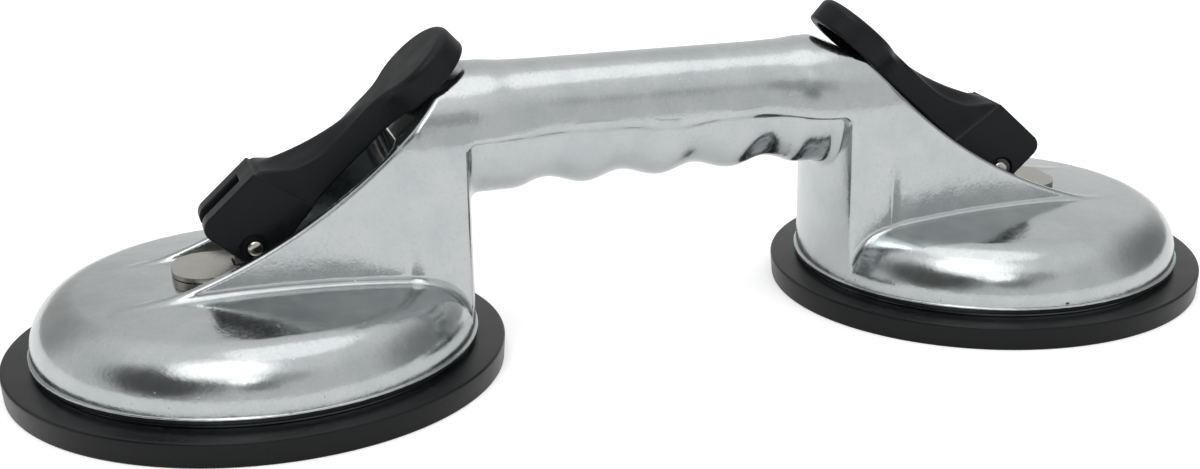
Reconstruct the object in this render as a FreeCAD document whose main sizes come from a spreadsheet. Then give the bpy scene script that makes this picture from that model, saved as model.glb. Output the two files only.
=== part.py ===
import FreeCAD, Part
import math
import os

import Sketcher

# Floor tile suction lifter: one die-cast aluminium handle with a suction head
# at each end. In each head a plastic cam lever turns on a pin in the eye of a
# draw stem. Thrown outward, the lever's cam rides up a steel wear plate and
# pulls the stem, its backing plate and the middle of the rubber pad upward.
#
# Millimetres. +Z is up, X runs along the handle, and the origin lies midway
# between the heads on the surface that the pads stand on. Each head is drawn
# in its own frame: +X towards the handle, +Z up, Z axis through the pin.

document = FreeCAD.newDocument("SuctionLifter")
sheet = document.addObject("Spreadsheet::Sheet", "Sheet")

DRIVING_SIZES = [
    # the two heads
    ("head_spacing", 200.0, "between the axes of the two heads"),
    ("cast_wall", 3.0, "wall of the cast heads"),
    ("rim_radius", 52.8, "outside of the cast head at its rim"),
    ("rim_bead", 0.6, "bead round the rim, proud of it"),
    ("rim_bead_height", 1.8, "height of that bead"),
    ("foot_height", 1.0, "foot of the rim below the bead"),
    ("foot_inset", 1.0, "foot of the rim inside the rim's radius"),
    ("shoulder_radius", 12.8, "round of the head's shoulder"),
    ("crown_height", 25.2, "top of the head's crown above the floor"),
    ("crown_radius", 360.0, "radius of the nearly flat crown"),
    # the tower that stands on each head
    ("tower_width", 36.8, "arched tower, across"),
    ("wing_width", 35.0, "across the two wings that guard the lever"),
    ("wing_tip_width", 32.0, "across the wings at their tips"),
    ("wing_wall", 2.8, "wall of a wing"),
    ("column_depth", 12.0, "round column, from the inner wall outward"),
    ("tower_reach", 35.5, "wings, outward from the head's axis"),
    ("slope_top_reach", 43.5, "top corner of the wings' edge, inward"),
    ("slope_tip_reach", 33.0, "foot of the wings' edge, outward"),
    ("slope_tip_height", 21.8, "foot of the wings' edge, height"),
    ("slope_radius", 137.0, "curve of the wings' edge"),
    ("seat_rise", 5.5, "thumb seat, up from the top corner"),
    ("seat_run", 11.6, "thumb seat, inward from the top corner"),
    ("pocket_floor", 22.6, "floor between the wings, height"),
    ("pocket_back_reach", 47.4, "back of the pocket at its floor, inward"),
    ("pocket_lean", 21.6, "lean of the pocket's back, degrees"),
    ("pocket_corner", 6.0, "round of the pocket's back corners"),
    # the handle
    ("grip_radius", 15.2, "upper half of the grip"),
    ("grip_axis_height", 57.1, "axis of the grip above the floor"),
    ("collar_step", 0.4, "collar at each end of the grip, proud of it"),
    ("collar_reach", 41.0, "collar's edge from the middle of the handle"),
    ("collar_edge", 1.2, "length of the collar's slope"),
    ("grip_lower_width", 28.8, "lower half of the grip, across"),
    ("finger_pitch", 20.2, "between finger recesses"),
    ("finger_count", 4.0, "finger recesses"),
    ("finger_shift", 3.0, "finger recesses, off the middle"),
    ("finger_mean_radius", 16.9, "middle of the finger wave from the grip axis"),
    ("finger_wave", 1.1, "height of the finger wave above its middle"),
    ("grip_end_radius", 18.8, "lower grip where it meets the towers"),
    # the rubber pads
    ("pad_radius", 60.0, "rubber pad"),
    ("pad_thickness", 6.2, "rubber pad at its edge"),
    ("pad_draft", 0.5, "pad's side, narrower at the floor"),
    ("pad_edge", 0.5, "chamfer of the pad's upper edge"),
    ("lip_width", 9.0, "flat sealing lip under the pad"),
    ("cup_depth", 1.2, "hollow inside the lip"),
    ("membrane", 3.2, "rubber inside the head"),
    ("membrane_radius", 47.0, "thin middle of the pad"),
    # draw gear: backing plate, stem, pin
    ("backing_radius", 24.0, "steel backing plate"),
    ("backing_thickness", 2.0, "steel backing plate"),
    ("backing_gap", 0.3, "backing plate above the rubber"),
    ("pin_height", 32.5, "lever pin above the floor, lever released"),
    ("pin_radius", 1.95, "lever pin"),
    ("pin_fit", 0.05, "running clearance round the pin"),
    ("pin_dome", 0.5, "domed head of the pin"),
    ("stem_width", 9.0, "draw stem, along the handle"),
    ("stem_thickness", 5.0, "draw stem, along the pin"),
    ("stem_clearance", 0.35, "draw stem in its slots, each side"),
    ("rivet_radius", 3.0, "rivet end of the stem under the backing plate"),
    ("rivet_height", 0.8, "rivet head under the backing plate"),
    ("rivet_fit", 0.05, "rivet end in the backing plate's hole"),
    # wear plate
    ("plate_thickness", 2.5, "wear plate, a strip folded double"),
    ("plate_leaf", 1.1, "one leaf of the wear plate"),
    ("plate_width", 20.0, "wear plate"),
    ("plate_outer_reach", 19.0, "wear plate, outward"),
    ("plate_inner_reach", 17.0, "wear plate, inward"),
    ("plate_corner", 8.0, "round corners of the plate's outer end"),
    ("plate_fit", 0.3, "wear plate in its seat, each side"),
    # lever
    ("lever_angle", 42.3, "lever above level when released, degrees"),
    ("cam_clearance", 0.3, "released cam above the wear plate"),
    ("block_width", 16.0, "cam block"),
    ("block_end", 5.0, "pin to the cam's end face"),
    ("block_rise", 13.0, "pin to the cam's locking face"),
    ("cam_corner", 5.0, "round between end face and locking face"),
    ("block_length", 12.4, "pin to the block's shoulder, top"),
    ("shoulder_drop", 1.3, "block's top above the arm"),
    ("shoulder_run", 1.4, "slope between block and arm"),
    ("block_under", 16.5, "pin to the block's shoulder, underneath"),
    ("arm_depth", 3.0, "pin axis to the arm's underside"),
    ("arm_dip_reach", 38.0, "pin to the waist of the arm"),
    ("arm_dip_rise", 4.9, "top of the arm's waist above the pin axis"),
    ("arm_top_radius", 62.0, "hollow of the arm's top"),
    ("arm_root_width", 14.4, "arm beside the block, across"),
    ("waist_width", 10.8, "arm's waist, across"),
    ("waist_reach", 34.0, "pin to the waist's narrowest place"),
    ("thumb_radius", 12.0, "round thumb pad"),
    ("thumb_reach", 57.0, "pin to the middle of the thumb pad"),
    ("thumb_rise", 4.2, "top of the thumb pad above the pin axis"),
    ("thumb_depth", 3.2, "pin axis to the thumb pad's underside"),
    ("thumb_wall", 2.5, "rim left round the hollow under the thumb pad"),
    ("thumb_hollow", 2.6, "depth of that hollow"),
    ("flare_angle", 138.0, "where the flare meets the thumb pad, degrees"),
    ("flare_radius", 20.0, "flare between waist and thumb pad"),
    ("clevis_gap", 0.4, "lever beside the stem, each side"),
    ("clevis_depth", 9.0, "slot of the clevis past the pin"),
    ("recess_radius", 3.3, "round recess about each pin end"),
    ("recess_depth", 0.7, "depth of that recess"),
    # clip on the pin's plain end
    ("clip_radius", 2.9, "retaining clip"),
    ("clip_thickness", 0.4, "retaining clip"),
    ("clip_mouth", 2.4, "mouth of the clip"),
    ("clip_gap", 0.1, "clip above the floor of its recess"),
]


class Size:
    """A length that knows both its number and its formula in sheet cells."""

    def __init__(self, number, formula=None):
        self.number = float(number)
        self.formula = formula or repr(float(number))

    def joined(self, other, sign, number):
        return Size(number, "(%s %s %s)" % (self.formula, sign, other.formula))

    def __add__(self, other):
        other = as_size(other)
        return self.joined(other, "+", self.number + other.number)

    def __sub__(self, other):
        other = as_size(other)
        return self.joined(other, "-", self.number - other.number)

    def __mul__(self, other):
        other = as_size(other)
        return self.joined(other, "*", self.number * other.number)

    def __truediv__(self, other):
        other = as_size(other)
        return self.joined(other, "/", self.number / other.number)

    def __rsub__(self, other):
        return as_size(other) - self

    def __neg__(self):
        return Size(-self.number, "(0 - %s)" % self.formula)

    __radd__ = __add__
    __rmul__ = __mul__


def as_size(value):
    return value if isinstance(value, Size) else Size(value)


def root(size):
    return Size(math.sqrt(size.number), "sqrt(%s)" % size.formula)


def cosine(degrees):
    return Size(math.cos(math.radians(degrees.number)), "cos(%s)" % degrees.formula)


def sine(degrees):
    return Size(math.sin(math.radians(degrees.number)), "sin(%s)" % degrees.formula)


sizes = {}
for row, (name, number, meaning) in enumerate(DRIVING_SIZES, start=1):
    sheet.set("A%d" % row, str(number))
    sheet.setAlias("A%d" % row, name)
    sheet.set("B%d" % row, meaning)
    sizes[name] = Size(number, "Sheet." + name)
document.recompute()


# ---------------------------------------------------------------- helpers

def bind(target, **properties):
    """Bind properties to sheet formulas; a double underscore stands for a dot."""
    for name, size in properties.items():
        target.setExpression(name.replace("__", "."), as_size(size).formula)


def vector(x, y, z=0.0):
    return FreeCAD.Vector(as_size(x).number, as_size(y).number, as_size(z).number)


def arc_between(start, end, radius, centre_left):
    """The short arc from start to end, its centre to the left or right of the way."""
    chord = end - start
    middle = (start + end) * 0.5
    left = FreeCAD.Vector(-chord.y, chord.x, 0).normalize()
    offset = math.sqrt(max(radius * radius - chord.Length ** 2 / 4, 0.0))
    centre = middle + left * (offset if centre_left else -offset)
    first, last = (start, end) if centre_left else (end, start)
    angle = [math.atan2(p.y - centre.y, p.x - centre.x) for p in (first, last)]
    if angle[1] < angle[0]:
        angle[1] += 2 * math.pi
    circle = Part.Circle(centre, FreeCAD.Vector(0, 0, 1), radius)
    return Part.ArcOfCircle(circle, angle[0], angle[1])


def outline(sketch, corners, arcs=None):
    """Close a loop of lines and arcs through corners, each bound to the sheet.

    arcs maps the number of a corner to (radius, side of the centre) for the
    arc that leaves it.
    """
    arcs = arcs or {}
    first_edge = sketch.GeometryCount
    count = len(corners)
    ends = []
    for i, corner in enumerate(corners):
        start = vector(*corner)
        end = vector(*corners[(i + 1) % count])
        if i in arcs:
            radius, side = arcs[i]
            curve = arc_between(start, end, as_size(radius).number, side == "left")
            ends.append((1, 2) if side == "left" else (2, 1))
        else:
            curve = Part.LineSegment(start, end)
            ends.append((1, 2))
        sketch.addGeometry(curve, False)
    for i in range(count):
        after = (i + 1) % count
        sketch.addConstraint(Sketcher.Constraint(
            "Coincident", first_edge + i, ends[i][1], first_edge + after, ends[after][0]))
    for i, (x, y) in enumerate(corners):
        for kind, size in (("DistanceX", as_size(x)), ("DistanceY", as_size(y))):
            rule = sketch.addConstraint(Sketcher.Constraint(
                kind, -1, 1, first_edge + i, ends[i][0], size.number))
            sketch.setExpression("Constraints[%d]" % rule, size.formula)
    for i, (radius, side) in arcs.items():
        size = as_size(radius)
        rule = sketch.addConstraint(Sketcher.Constraint("Radius", first_edge + i, size.number))
        sketch.setExpression("Constraints[%d]" % rule, size.formula)
    return sketch


def ring(sketch, radius, x=0.0, y=0.0):
    """Add a circle, its radius and centre bound to the sheet."""
    number = sketch.addGeometry(
        Part.Circle(vector(x, y), FreeCAD.Vector(0, 0, 1), as_size(radius).number), False)
    rule = sketch.addConstraint(Sketcher.Constraint("Radius", number, as_size(radius).number))
    sketch.setExpression("Constraints[%d]" % rule, as_size(radius).formula)
    for kind, size in (("DistanceX", as_size(x)), ("DistanceY", as_size(y))):
        rule = sketch.addConstraint(Sketcher.Constraint(kind, -1, 1, number, 3, size.number))
        sketch.setExpression("Constraints[%d]" % rule, size.formula)
    return sketch


PLANE_TURNS = {
    "XY": FreeCAD.Rotation(),
    "XZ": FreeCAD.Rotation(FreeCAD.Vector(1, 0, 0), 90),
    "YZ": FreeCAD.Rotation(FreeCAD.Vector(1, 1, 1), 120),
}


def plane_sketch(name, plane):
    """A free sketch on a plane of the head's or the lifter's frame."""
    sketch = document.addObject("Sketcher::SketchObject", name)
    sketch.Placement = FreeCAD.Placement(FreeCAD.Vector(), PLANE_TURNS[plane])
    return sketch


def body_sketch(body, name, plane):
    """A sketch attached to one of the body's own origin planes."""
    sketch = body.newObject("Sketcher::SketchObject", name)
    origin_plane = [f for f in body.Origin.OriginFeatures if f.Role == plane + "_Plane"][0]
    sketch.AttachmentSupport = [(origin_plane, "")]
    sketch.MapMode = "FlatFace"
    return sketch


def extrusion(name, sketch, length, reach_back=0.0):
    """Extrude a free sketch along its normal, and back behind it if asked."""
    block = document.addObject("Part::Extrusion", name)
    block.Base = sketch
    block.DirMode = "Normal"
    block.Solid = True
    bind(block, LengthFwd=length, LengthRev=reach_back)
    return block


def revolution(name, sketch, axis, height=0.0, sweep=360.0):
    turned = document.addObject("Part::Revolution", name)
    turned.Source = sketch
    turned.Axis = axis
    turned.Angle = sweep
    turned.Solid = True
    bind(turned, Base__z=height)
    return turned


def group(kind, name, shapes):
    joined = document.addObject(kind, name)
    joined.Shapes = shapes
    return joined


def cut(name, base, tool):
    result = document.addObject("Part::Cut", name)
    result.Base = base
    result.Tool = tool
    return result


def mirrored(name, source):
    copy = document.addObject("Part::Mirroring", name)
    copy.Source = source
    copy.Normal = FreeCAD.Vector(1, 0, 0)
    return copy


def box(name, low, high):
    """A box between two corners, both bound to the sheet."""
    block = document.addObject("Part::Box", name)
    low = [as_size(v) for v in low]
    high = [as_size(v) for v in high]
    bind(block, Length=high[0] - low[0], Width=high[1] - low[1], Height=high[2] - low[2],
         Placement__Base__x=low[0], Placement__Base__y=low[1], Placement__Base__z=low[2])
    return block


def seat_in_head(body, side, height=0.0):
    """Place a body drawn in a head's frame on the left (-1) or right (+1) head."""
    if side > 0:
        body.Placement = FreeCAD.Placement(
            FreeCAD.Vector(), FreeCAD.Rotation(FreeCAD.Vector(0, 0, 1), 180))
    bind(body, Placement__Base__x=sizes["head_spacing"] / 2 * side,
         Placement__Base__z=height)
    return body


# ---------------------------------------------------------------- cast body

def head_profile():
    """Outer half-section of a cast head: foot, bead, rim, shoulder and crown."""
    rim = sizes["rim_radius"]
    bead = rim + sizes["rim_bead"]
    foot = rim - sizes["foot_inset"]
    base = sizes["pad_thickness"]
    bead_low = base + sizes["foot_height"]
    bead_high = bead_low + sizes["rim_bead_height"]
    shoulder_centre, shoulder_end, crown_centre = shoulder(sizes["shoulder_radius"],
                                                           sizes["crown_radius"])
    sketch = plane_sketch("head_profile", "XZ")
    outline(sketch, [
        (0, base), (foot, base), (foot, bead_low), (bead, bead_low), (bead, bead_high),
        (rim, bead_high), (rim, shoulder_centre[1]), shoulder_end,
        (0, crown_centre + sizes["crown_radius"])],
        {6: (sizes["shoulder_radius"], "left"), 7: (sizes["crown_radius"], "left")})
    return sketch


def tower_top():
    """The towers end level with the collars of the grip."""
    return sizes["grip_axis_height"] + sizes["grip_radius"] + sizes["collar_step"]


def shoulder(round_radius, crown_radius):
    """Centre and upper end of a round tangent to the rim and to the crown."""
    crown_centre = sizes["crown_height"] - sizes["crown_radius"]
    across = sizes["rim_radius"] - sizes["shoulder_radius"]
    between = sizes["crown_radius"] - sizes["shoulder_radius"]
    up = root(between * between - across * across)
    centre = (across, crown_centre + up)
    end = (across * crown_radius / between, crown_centre + up * crown_radius / between)
    return centre, end, crown_centre


def cavity_profile():
    """Half-section of the hollow under a cast head, one wall inside its outside."""
    wall = sizes["cast_wall"]
    inner_round = sizes["shoulder_radius"] - wall
    inner_crown = sizes["crown_radius"] - wall
    centre, end, crown_centre = shoulder(inner_round, inner_crown)
    inner = sizes["rim_radius"] - wall
    base = sizes["pad_thickness"]
    sketch = plane_sketch("cavity_profile", "XZ")
    outline(sketch, [(0, base), (inner, base), (inner, centre[1]), end,
                     (0, crown_centre + inner_crown)],
            {2: (inner_round, "left"), 3: (inner_crown, "left")})
    return sketch


def tower_plan():
    """Plan of a tower: inner wall on the rim's circle, round column, two wings."""
    half = sizes["tower_width"] / 2
    wing = sizes["wing_width"] / 2
    tip = sizes["wing_tip_width"] / 2
    rim = sizes["rim_radius"]
    wall_reach = root(rim * rim - half * half)
    column_end = wall_reach - sizes["column_depth"] * 0.75
    wing_start = wall_reach - sizes["column_depth"] * 1.25
    reach = -sizes["tower_reach"]
    sketch = plane_sketch("tower_plan", "XY")
    outline(sketch, [
        (wall_reach, -half), (wall_reach, half), (column_end, half), (wing_start, wing),
        (reach, tip), (reach, -tip), (wing_start, -wing), (column_end, -half)],
        {0: (rim, "left")})
    return sketch


def tower_arch():
    """Section of a tower across the handle: straight legs under a round arch."""
    half = sizes["tower_width"] / 2
    spring_line = tower_top() - half
    low = sizes["pad_thickness"] + sizes["foot_height"] + sizes["rim_bead_height"]
    sketch = plane_sketch("tower_arch", "YZ")
    outline(sketch, [(-half, low), (half, low), (half, spring_line), (0, tower_top()),
                     (-half, spring_line)],
            {2: (half, "left"), 3: (half, "left")})
    return sketch


def slope_profile():
    """Everything above a head that the lever's trough and thumb seat cut away."""
    corner = (sizes["slope_top_reach"], tower_top() - sizes["seat_rise"])
    tip = (-sizes["slope_tip_reach"], sizes["slope_tip_height"])
    clear_above = tower_top() + 10
    clear_beyond = -sizes["tower_reach"] - 10
    far = sizes["seat_run"] * 2
    sketch = plane_sketch("slope_profile", "XZ")
    outline(sketch, [
        corner, (corner[0] + far, corner[1] + sizes["seat_rise"] * 2),
        (corner[0] + far, clear_above), (clear_beyond, clear_above),
        (clear_beyond, tip[1]), tip],
        {5: (sizes["slope_radius"], "left")})
    return sketch


def pocket_profile():
    """The space between the wings, with a back that leans outward as it rises."""
    back = sizes["pocket_back_reach"]
    floor = sizes["pocket_floor"]
    clear_above = tower_top() + 10
    clear_beyond = -sizes["tower_reach"] - 10
    lean = (clear_above - floor) * sine(sizes["pocket_lean"]) / cosine(sizes["pocket_lean"])
    sketch = plane_sketch("pocket_profile", "XZ")
    outline(sketch, [(clear_beyond, floor), (back, floor), (back - lean, clear_above),
                     (clear_beyond, clear_above)])
    return sketch


def pocket_cutter():
    half = sizes["wing_tip_width"] / 2 - sizes["wing_wall"]
    prism = extrusion("pocket_prism", pocket_profile(), half, half)
    document.recompute()
    back_edges = []
    for number, edge in enumerate(prism.Shape.Edges, start=1):
        ends = [vertex.Point for vertex in edge.Vertexes]
        leaning = abs(ends[0].x - ends[1].x) > 1 and abs(ends[0].z - ends[1].z) > 1
        if leaning:
            back_edges.append((number, sizes["pocket_corner"].number,
                               sizes["pocket_corner"].number))
    rounded = document.addObject("Part::Fillet", "pocket")
    rounded.Base = prism
    rounded.Edges = back_edges
    return rounded


def shoulder_blend():
    """Upper half of the handle's end, widening from the collar to the tower."""
    collar = sizes["grip_radius"] + sizes["collar_step"]
    half = sizes["tower_width"] / 2
    small = plane_sketch("blend_small", "YZ")
    ring(small, collar)
    bind(small, Placement__Base__x=-sizes["collar_reach"] - sizes["collar_edge"],
         Placement__Base__z=sizes["grip_axis_height"])
    large = plane_sketch("blend_large", "YZ")
    ring(large, half)
    bind(large, Placement__Base__x=sizes["rim_radius"] - 3 - sizes["head_spacing"] / 2,
         Placement__Base__z=tower_top() - half)
    blend = document.addObject("Part::Loft", "blend_loft")
    blend.Sections = [small, large]
    blend.Solid = True
    blend.Ruled = True
    upper = box("blend_keep",
                (-sizes["head_spacing"] / 2, -sizes["tower_width"], sizes["grip_axis_height"]),
                (0, sizes["tower_width"], tower_top() + 10))
    keep = document.addObject("Part::Common", "blend_left")
    keep.Base = blend
    keep.Tool = upper
    return keep


def grip_tube():
    """Upper half of the grip with the low collar at each end."""
    radius = sizes["grip_radius"]
    collar = radius + sizes["collar_step"]
    reach = sizes["collar_reach"]
    edge = sizes["collar_edge"]
    end = sizes["head_spacing"] / 2 - sizes["rim_radius"] + 3
    axis = sizes["grip_axis_height"]
    sketch = plane_sketch("tube_profile", "XZ")
    outline(sketch, [
        (-end, axis), (end, axis), (end, axis + collar), (reach + edge, axis + collar),
        (reach, axis + radius), (-reach, axis + radius), (-reach - edge, axis + collar),
        (-end, axis + collar)])
    tube = document.addObject("Part::Revolution", "grip_tube")
    tube.Source = sketch
    tube.Axis = FreeCAD.Vector(1, 0, 0)
    tube.Angle = 360
    tube.Solid = True
    bind(tube, Base__z=axis)
    return tube


def finger_wave():
    """Half-section of the lower grip: hollows for the fingers with lumps between.

    The wave is a chain of equal arcs that change side every half pitch.
    """
    pitch = sizes["finger_pitch"].number
    hollows = int(sizes["finger_count"].number)
    mean = sizes["finger_mean_radius"].number
    height = sizes["finger_wave"].number
    axis = sizes["grip_axis_height"].number
    end = (sizes["head_spacing"] / 2 - sizes["rim_radius"]).number + 3
    end_radius = sizes["grip_end_radius"].number
    first = sizes["finger_shift"].number - pitch * (hollows - 1) / 2 - pitch / 4

    def at(x, radius):
        return FreeCAD.Vector(x, 0, axis - radius)

    edges = []
    place = at(first, mean)
    for half_wave in range(2 * hollows - 1):
        start = first + half_wave * pitch / 2
        side = -1 if half_wave % 2 == 0 else 1
        after = at(start + pitch / 2, mean)
        crest = at(start + pitch / 4, mean + side * height)
        edges.append(Part.Arc(place, crest, after).toShape())
        place = after
    ends = [at(-end, end_radius), at(-end, 0), at(end, 0), at(end, end_radius)]
    path = [at(first, mean)] + ends + [place]
    for start, stop in zip(path, path[1:]):
        edges.append(Part.LineSegment(start, stop).toShape())
    face = Part.Face(Part.Wire(Part.__sortEdges__(edges)))
    wave = document.addObject("Part::Feature", "finger_wave")
    wave.Shape = face
    return wave


def lower_grip():
    """The lower half of the grip, flat-sided, with the finger wave underneath."""
    turned = document.addObject("Part::Revolution", "grip_turned")
    turned.Source = finger_wave()
    turned.Axis = FreeCAD.Vector(1, 0, 0)
    turned.Angle = 360
    turned.Solid = True
    bind(turned, Base__z=sizes["grip_axis_height"])
    half = sizes["grip_lower_width"] / 2
    end = sizes["head_spacing"] / 2 - sizes["rim_radius"] + 3
    slab = box("grip_keep", (-end, -half, sizes["grip_axis_height"] - 2 * sizes["grip_radius"]),
               (end, half, sizes["grip_axis_height"]))
    lower = document.addObject("Part::Common", "lower_grip")
    lower.Base = turned
    lower.Tool = slab
    return lower


def at_left(feature):
    bind(feature, Placement__Base__x=-sizes["head_spacing"] / 2)
    return feature


def cast_body():
    """The whole die casting: two hollow heads, two towers and the grip."""
    depth = sizes["head_spacing"]
    tall = extrusion("tower_tall", tower_plan(), tower_top() + 10)
    arched = extrusion("tower_arched", tower_arch(), depth / 2, depth / 2)
    tower = document.addObject("Part::Common", "tower_left")
    tower.Base = tall
    tower.Tool = arched
    at_left(tower)
    blend = shoulder_blend()
    blank = group("Part::MultiFuse", "upper_works", [
        grip_tube(), lower_grip(), tower, mirrored("tower_right", tower),
        blend, mirrored("blend_right", blend)])
    wide = sizes["tower_width"]
    slope = at_left(extrusion("slope_left", slope_profile(), wide, wide))
    pocket = at_left(pocket_cutter())
    openings = group("Part::MultiFuse", "upper_openings", [
        slope, mirrored("slope_right", slope), pocket, mirrored("pocket_right", pocket)])
    upper = cut("upper_cut", blank, openings)
    dome = at_left(revolution("dome_left", head_profile(), FreeCAD.Vector(0, 0, 1)))
    solid = group("Part::MultiFuse", "cast_solid", [upper, dome, mirrored("dome_right", dome)])
    cavity = at_left(revolution("cavity_left", cavity_profile(), FreeCAD.Vector(0, 0, 1)))
    slot = at_left(stem_slot())
    seat = at_left(plate_seat())
    hollows = group("Part::MultiFuse", "hollows", [
        cavity, mirrored("cavity_right", cavity), slot, mirrored("slot_right", slot),
        seat, mirrored("seat_right", seat)])
    casting = cut("cast_body", solid, hollows)
    casting.Label = "cast_body"
    return casting


def stem_slot():
    """Slot through the crown for the draw stem."""
    half_x = sizes["stem_width"] / 2 + sizes["stem_clearance"]
    half_y = sizes["stem_thickness"] / 2 + sizes["stem_clearance"]
    hole = document.addObject("Part::Box", "stem_slot")
    bind(hole, Length=half_x * 2, Width=half_y * 2, Height=sizes["crown_height"])
    place_centre(hole, half_x, half_y, sizes["pad_thickness"])
    return wrapped("slot_left", hole)


def plate_seat():
    """Flat seat in the crown under the wear plate."""
    fit = sizes["plate_fit"]
    long = sizes["plate_outer_reach"] + sizes["plate_inner_reach"] + fit * 2
    hole = document.addObject("Part::Box", "plate_seat")
    bind(hole, Length=long, Width=sizes["plate_width"] + fit * 2, Height=sizes["plate_thickness"])
    bind(hole, Placement__Base__x=-sizes["plate_outer_reach"] - fit,
         Placement__Base__y=-sizes["plate_width"] / 2 - fit, Placement__Base__z=plate_bottom())
    return wrapped("seat_left", hole)


def place_centre(block, half_x, half_y, height):
    bind(block, Placement__Base__x=-half_x, Placement__Base__y=-half_y,
         Placement__Base__z=height)


def wrapped(name, shape):
    """A one-part fusion, so that a tool drawn in a head's frame can be moved whole."""
    holder = document.addObject("Part::Compound", name)
    holder.Links = [shape]
    return holder


def plate_top():
    return sizes["pin_height"] - sizes["block_end"] - sizes["cam_clearance"]


def plate_bottom():
    return plate_top() - sizes["plate_thickness"]


# ---------------------------------------------------------------- loose parts

def new_body(name):
    body = document.addObject("PartDesign::Body", name)
    body.Label = name
    return body


def turned_feature(body, sketch, name):
    feature = body.newObject("PartDesign::Revolution", name)
    feature.Profile = sketch
    feature.ReferenceAxis = (sketch, ["V_Axis"])
    feature.Angle = 360
    return feature


def padded(body, sketch, name, length, both_ways=True):
    feature = body.newObject("PartDesign::Pad", name)
    feature.Profile = sketch
    feature.Midplane = both_ways
    bind(feature, Length=length)
    return feature


def pocketed(body, sketch, name, length, both_ways=True):
    feature = body.newObject("PartDesign::Pocket", name)
    feature.Profile = sketch
    feature.Midplane = both_ways
    bind(feature, Length=length)
    return feature


def rubber_pad(name, side):
    """Rubber disc: flat sealing lip, shallow cup, thin middle and standing rim."""
    radius = sizes["pad_radius"]
    low = radius - sizes["pad_draft"]
    edge = sizes["pad_edge"]
    top = sizes["pad_thickness"]
    lip = radius - sizes["lip_width"]
    cup = sizes["cup_depth"]
    middle = sizes["membrane_radius"]
    thin_top = cup + sizes["membrane"]
    slope = sizes["membrane"] / 2
    body = new_body(name)
    sketch = outline(body_sketch(body, name + "_section", "XZ"), [
        (0, cup), (lip - cup * 2, cup), (lip, 0), (low, 0), (radius, top - edge * 2),
        (radius - edge, top), (middle + slope, top), (middle, thin_top), (0, thin_top)])
    turned_feature(body, sketch, name + "_disc")
    return seat_in_head(body, side)


def backing_plate(name, side):
    """Steel disc on the middle of the rubber, holed for the stem's rivet end."""
    low = backing_bottom()
    edge = sizes["backing_thickness"] / 4
    radius = sizes["backing_radius"]
    hole = sizes["rivet_radius"] + sizes["rivet_fit"]
    high = low + sizes["backing_thickness"]
    body = new_body(name)
    sketch = outline(body_sketch(body, name + "_section", "XZ"), [
        (hole, low), (radius - edge, low), (radius, low + edge), (radius, high - edge),
        (radius - edge, high), (hole, high)])
    turned_feature(body, sketch, name + "_disc")
    return seat_in_head(body, side)


def backing_bottom():
    thin_top = sizes["cup_depth"] + sizes["membrane"]
    return thin_top + sizes["backing_gap"] + sizes["rivet_height"]


def draw_stem(name, side):
    """Flat stem with a round eye for the pin and a riveted foot."""
    half = sizes["stem_width"] / 2
    foot = backing_bottom() + sizes["backing_thickness"]
    eye = sizes["pin_height"]
    body = new_body(name)
    blade = outline(body_sketch(body, name + "_side", "XZ"), [
        (-half, foot), (half, foot), (half, eye), (0, eye + half), (-half, eye)],
        {2: (half, "left"), 3: (half, "left")})
    padded(body, blade, name + "_blade", sizes["stem_thickness"])
    low = backing_bottom() - sizes["rivet_height"]
    shank = sizes["rivet_radius"]
    head = shank * 1.6
    rivet = outline(body_sketch(body, name + "_rivet_section", "XZ"), [
        (0, low), (head * 0.7, low), (head, backing_bottom()), (shank, backing_bottom()),
        (shank, foot), (0, foot)])
    turned_feature(body, rivet, name + "_rivet")
    hole = ring(body_sketch(body, name + "_eye_ring", "XZ"),
                sizes["pin_radius"] + sizes["pin_fit"], 0, eye)
    pocketed(body, hole, name + "_eye", sizes["stem_thickness"] * 2)
    return seat_in_head(body, side)


def wear_plate(name, side):
    """Plated strip folded double, round-ended, slotted for the stem."""
    top = plate_top()
    low = plate_bottom()
    leaf = sizes["plate_leaf"]
    outer = -sizes["plate_outer_reach"]
    inner = sizes["plate_inner_reach"]
    fold = sizes["plate_thickness"] / 2
    inside = fold - leaf
    body = new_body(name)
    section = outline(body_sketch(body, name + "_section", "XZ"), [
        (outer, low), (inner - fold, low), (inner, low + fold), (inner - fold, top),
        (outer, top), (outer, top - leaf), (inner - fold, top - leaf),
        (inner - leaf, low + fold), (inner - fold, low + leaf), (outer, low + leaf)],
        {1: (fold, "left"), 2: (fold, "left"), 6: (inside, "right"), 7: (inside, "right")})
    padded(body, section, name + "_strip", sizes["plate_width"])
    half_x = sizes["stem_width"] / 2 + sizes["stem_clearance"]
    half_y = sizes["stem_thickness"] / 2 + sizes["stem_clearance"]
    slot = outline(body_sketch(body, name + "_slot_outline", "XY"), [
        (-half_x, -half_y), (half_x, -half_y), (half_x, half_y), (-half_x, half_y)])
    pocketed(body, slot, name + "_slot", sizes["pin_height"] * 2)
    corner = sizes["plate_corner"]
    wide = sizes["plate_width"] / 2
    beyond = sizes["plate_width"]
    ends = body_sketch(body, name + "_corner_outline", "XY")
    outline(ends, [(outer, wide - corner), (outer + corner, wide), (outer + corner, beyond),
                   (outer - corner, beyond), (outer - corner, wide - corner)],
            {0: (corner, "right")})
    outline(ends, [(outer, corner - wide), (outer - corner, corner - wide),
                   (outer - corner, -beyond), (outer + corner, -beyond),
                   (outer + corner, -wide)],
            {4: (corner, "right")})
    pocketed(body, ends, name + "_corners", sizes["pin_height"] * 2)
    return seat_in_head(body, side)


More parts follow.
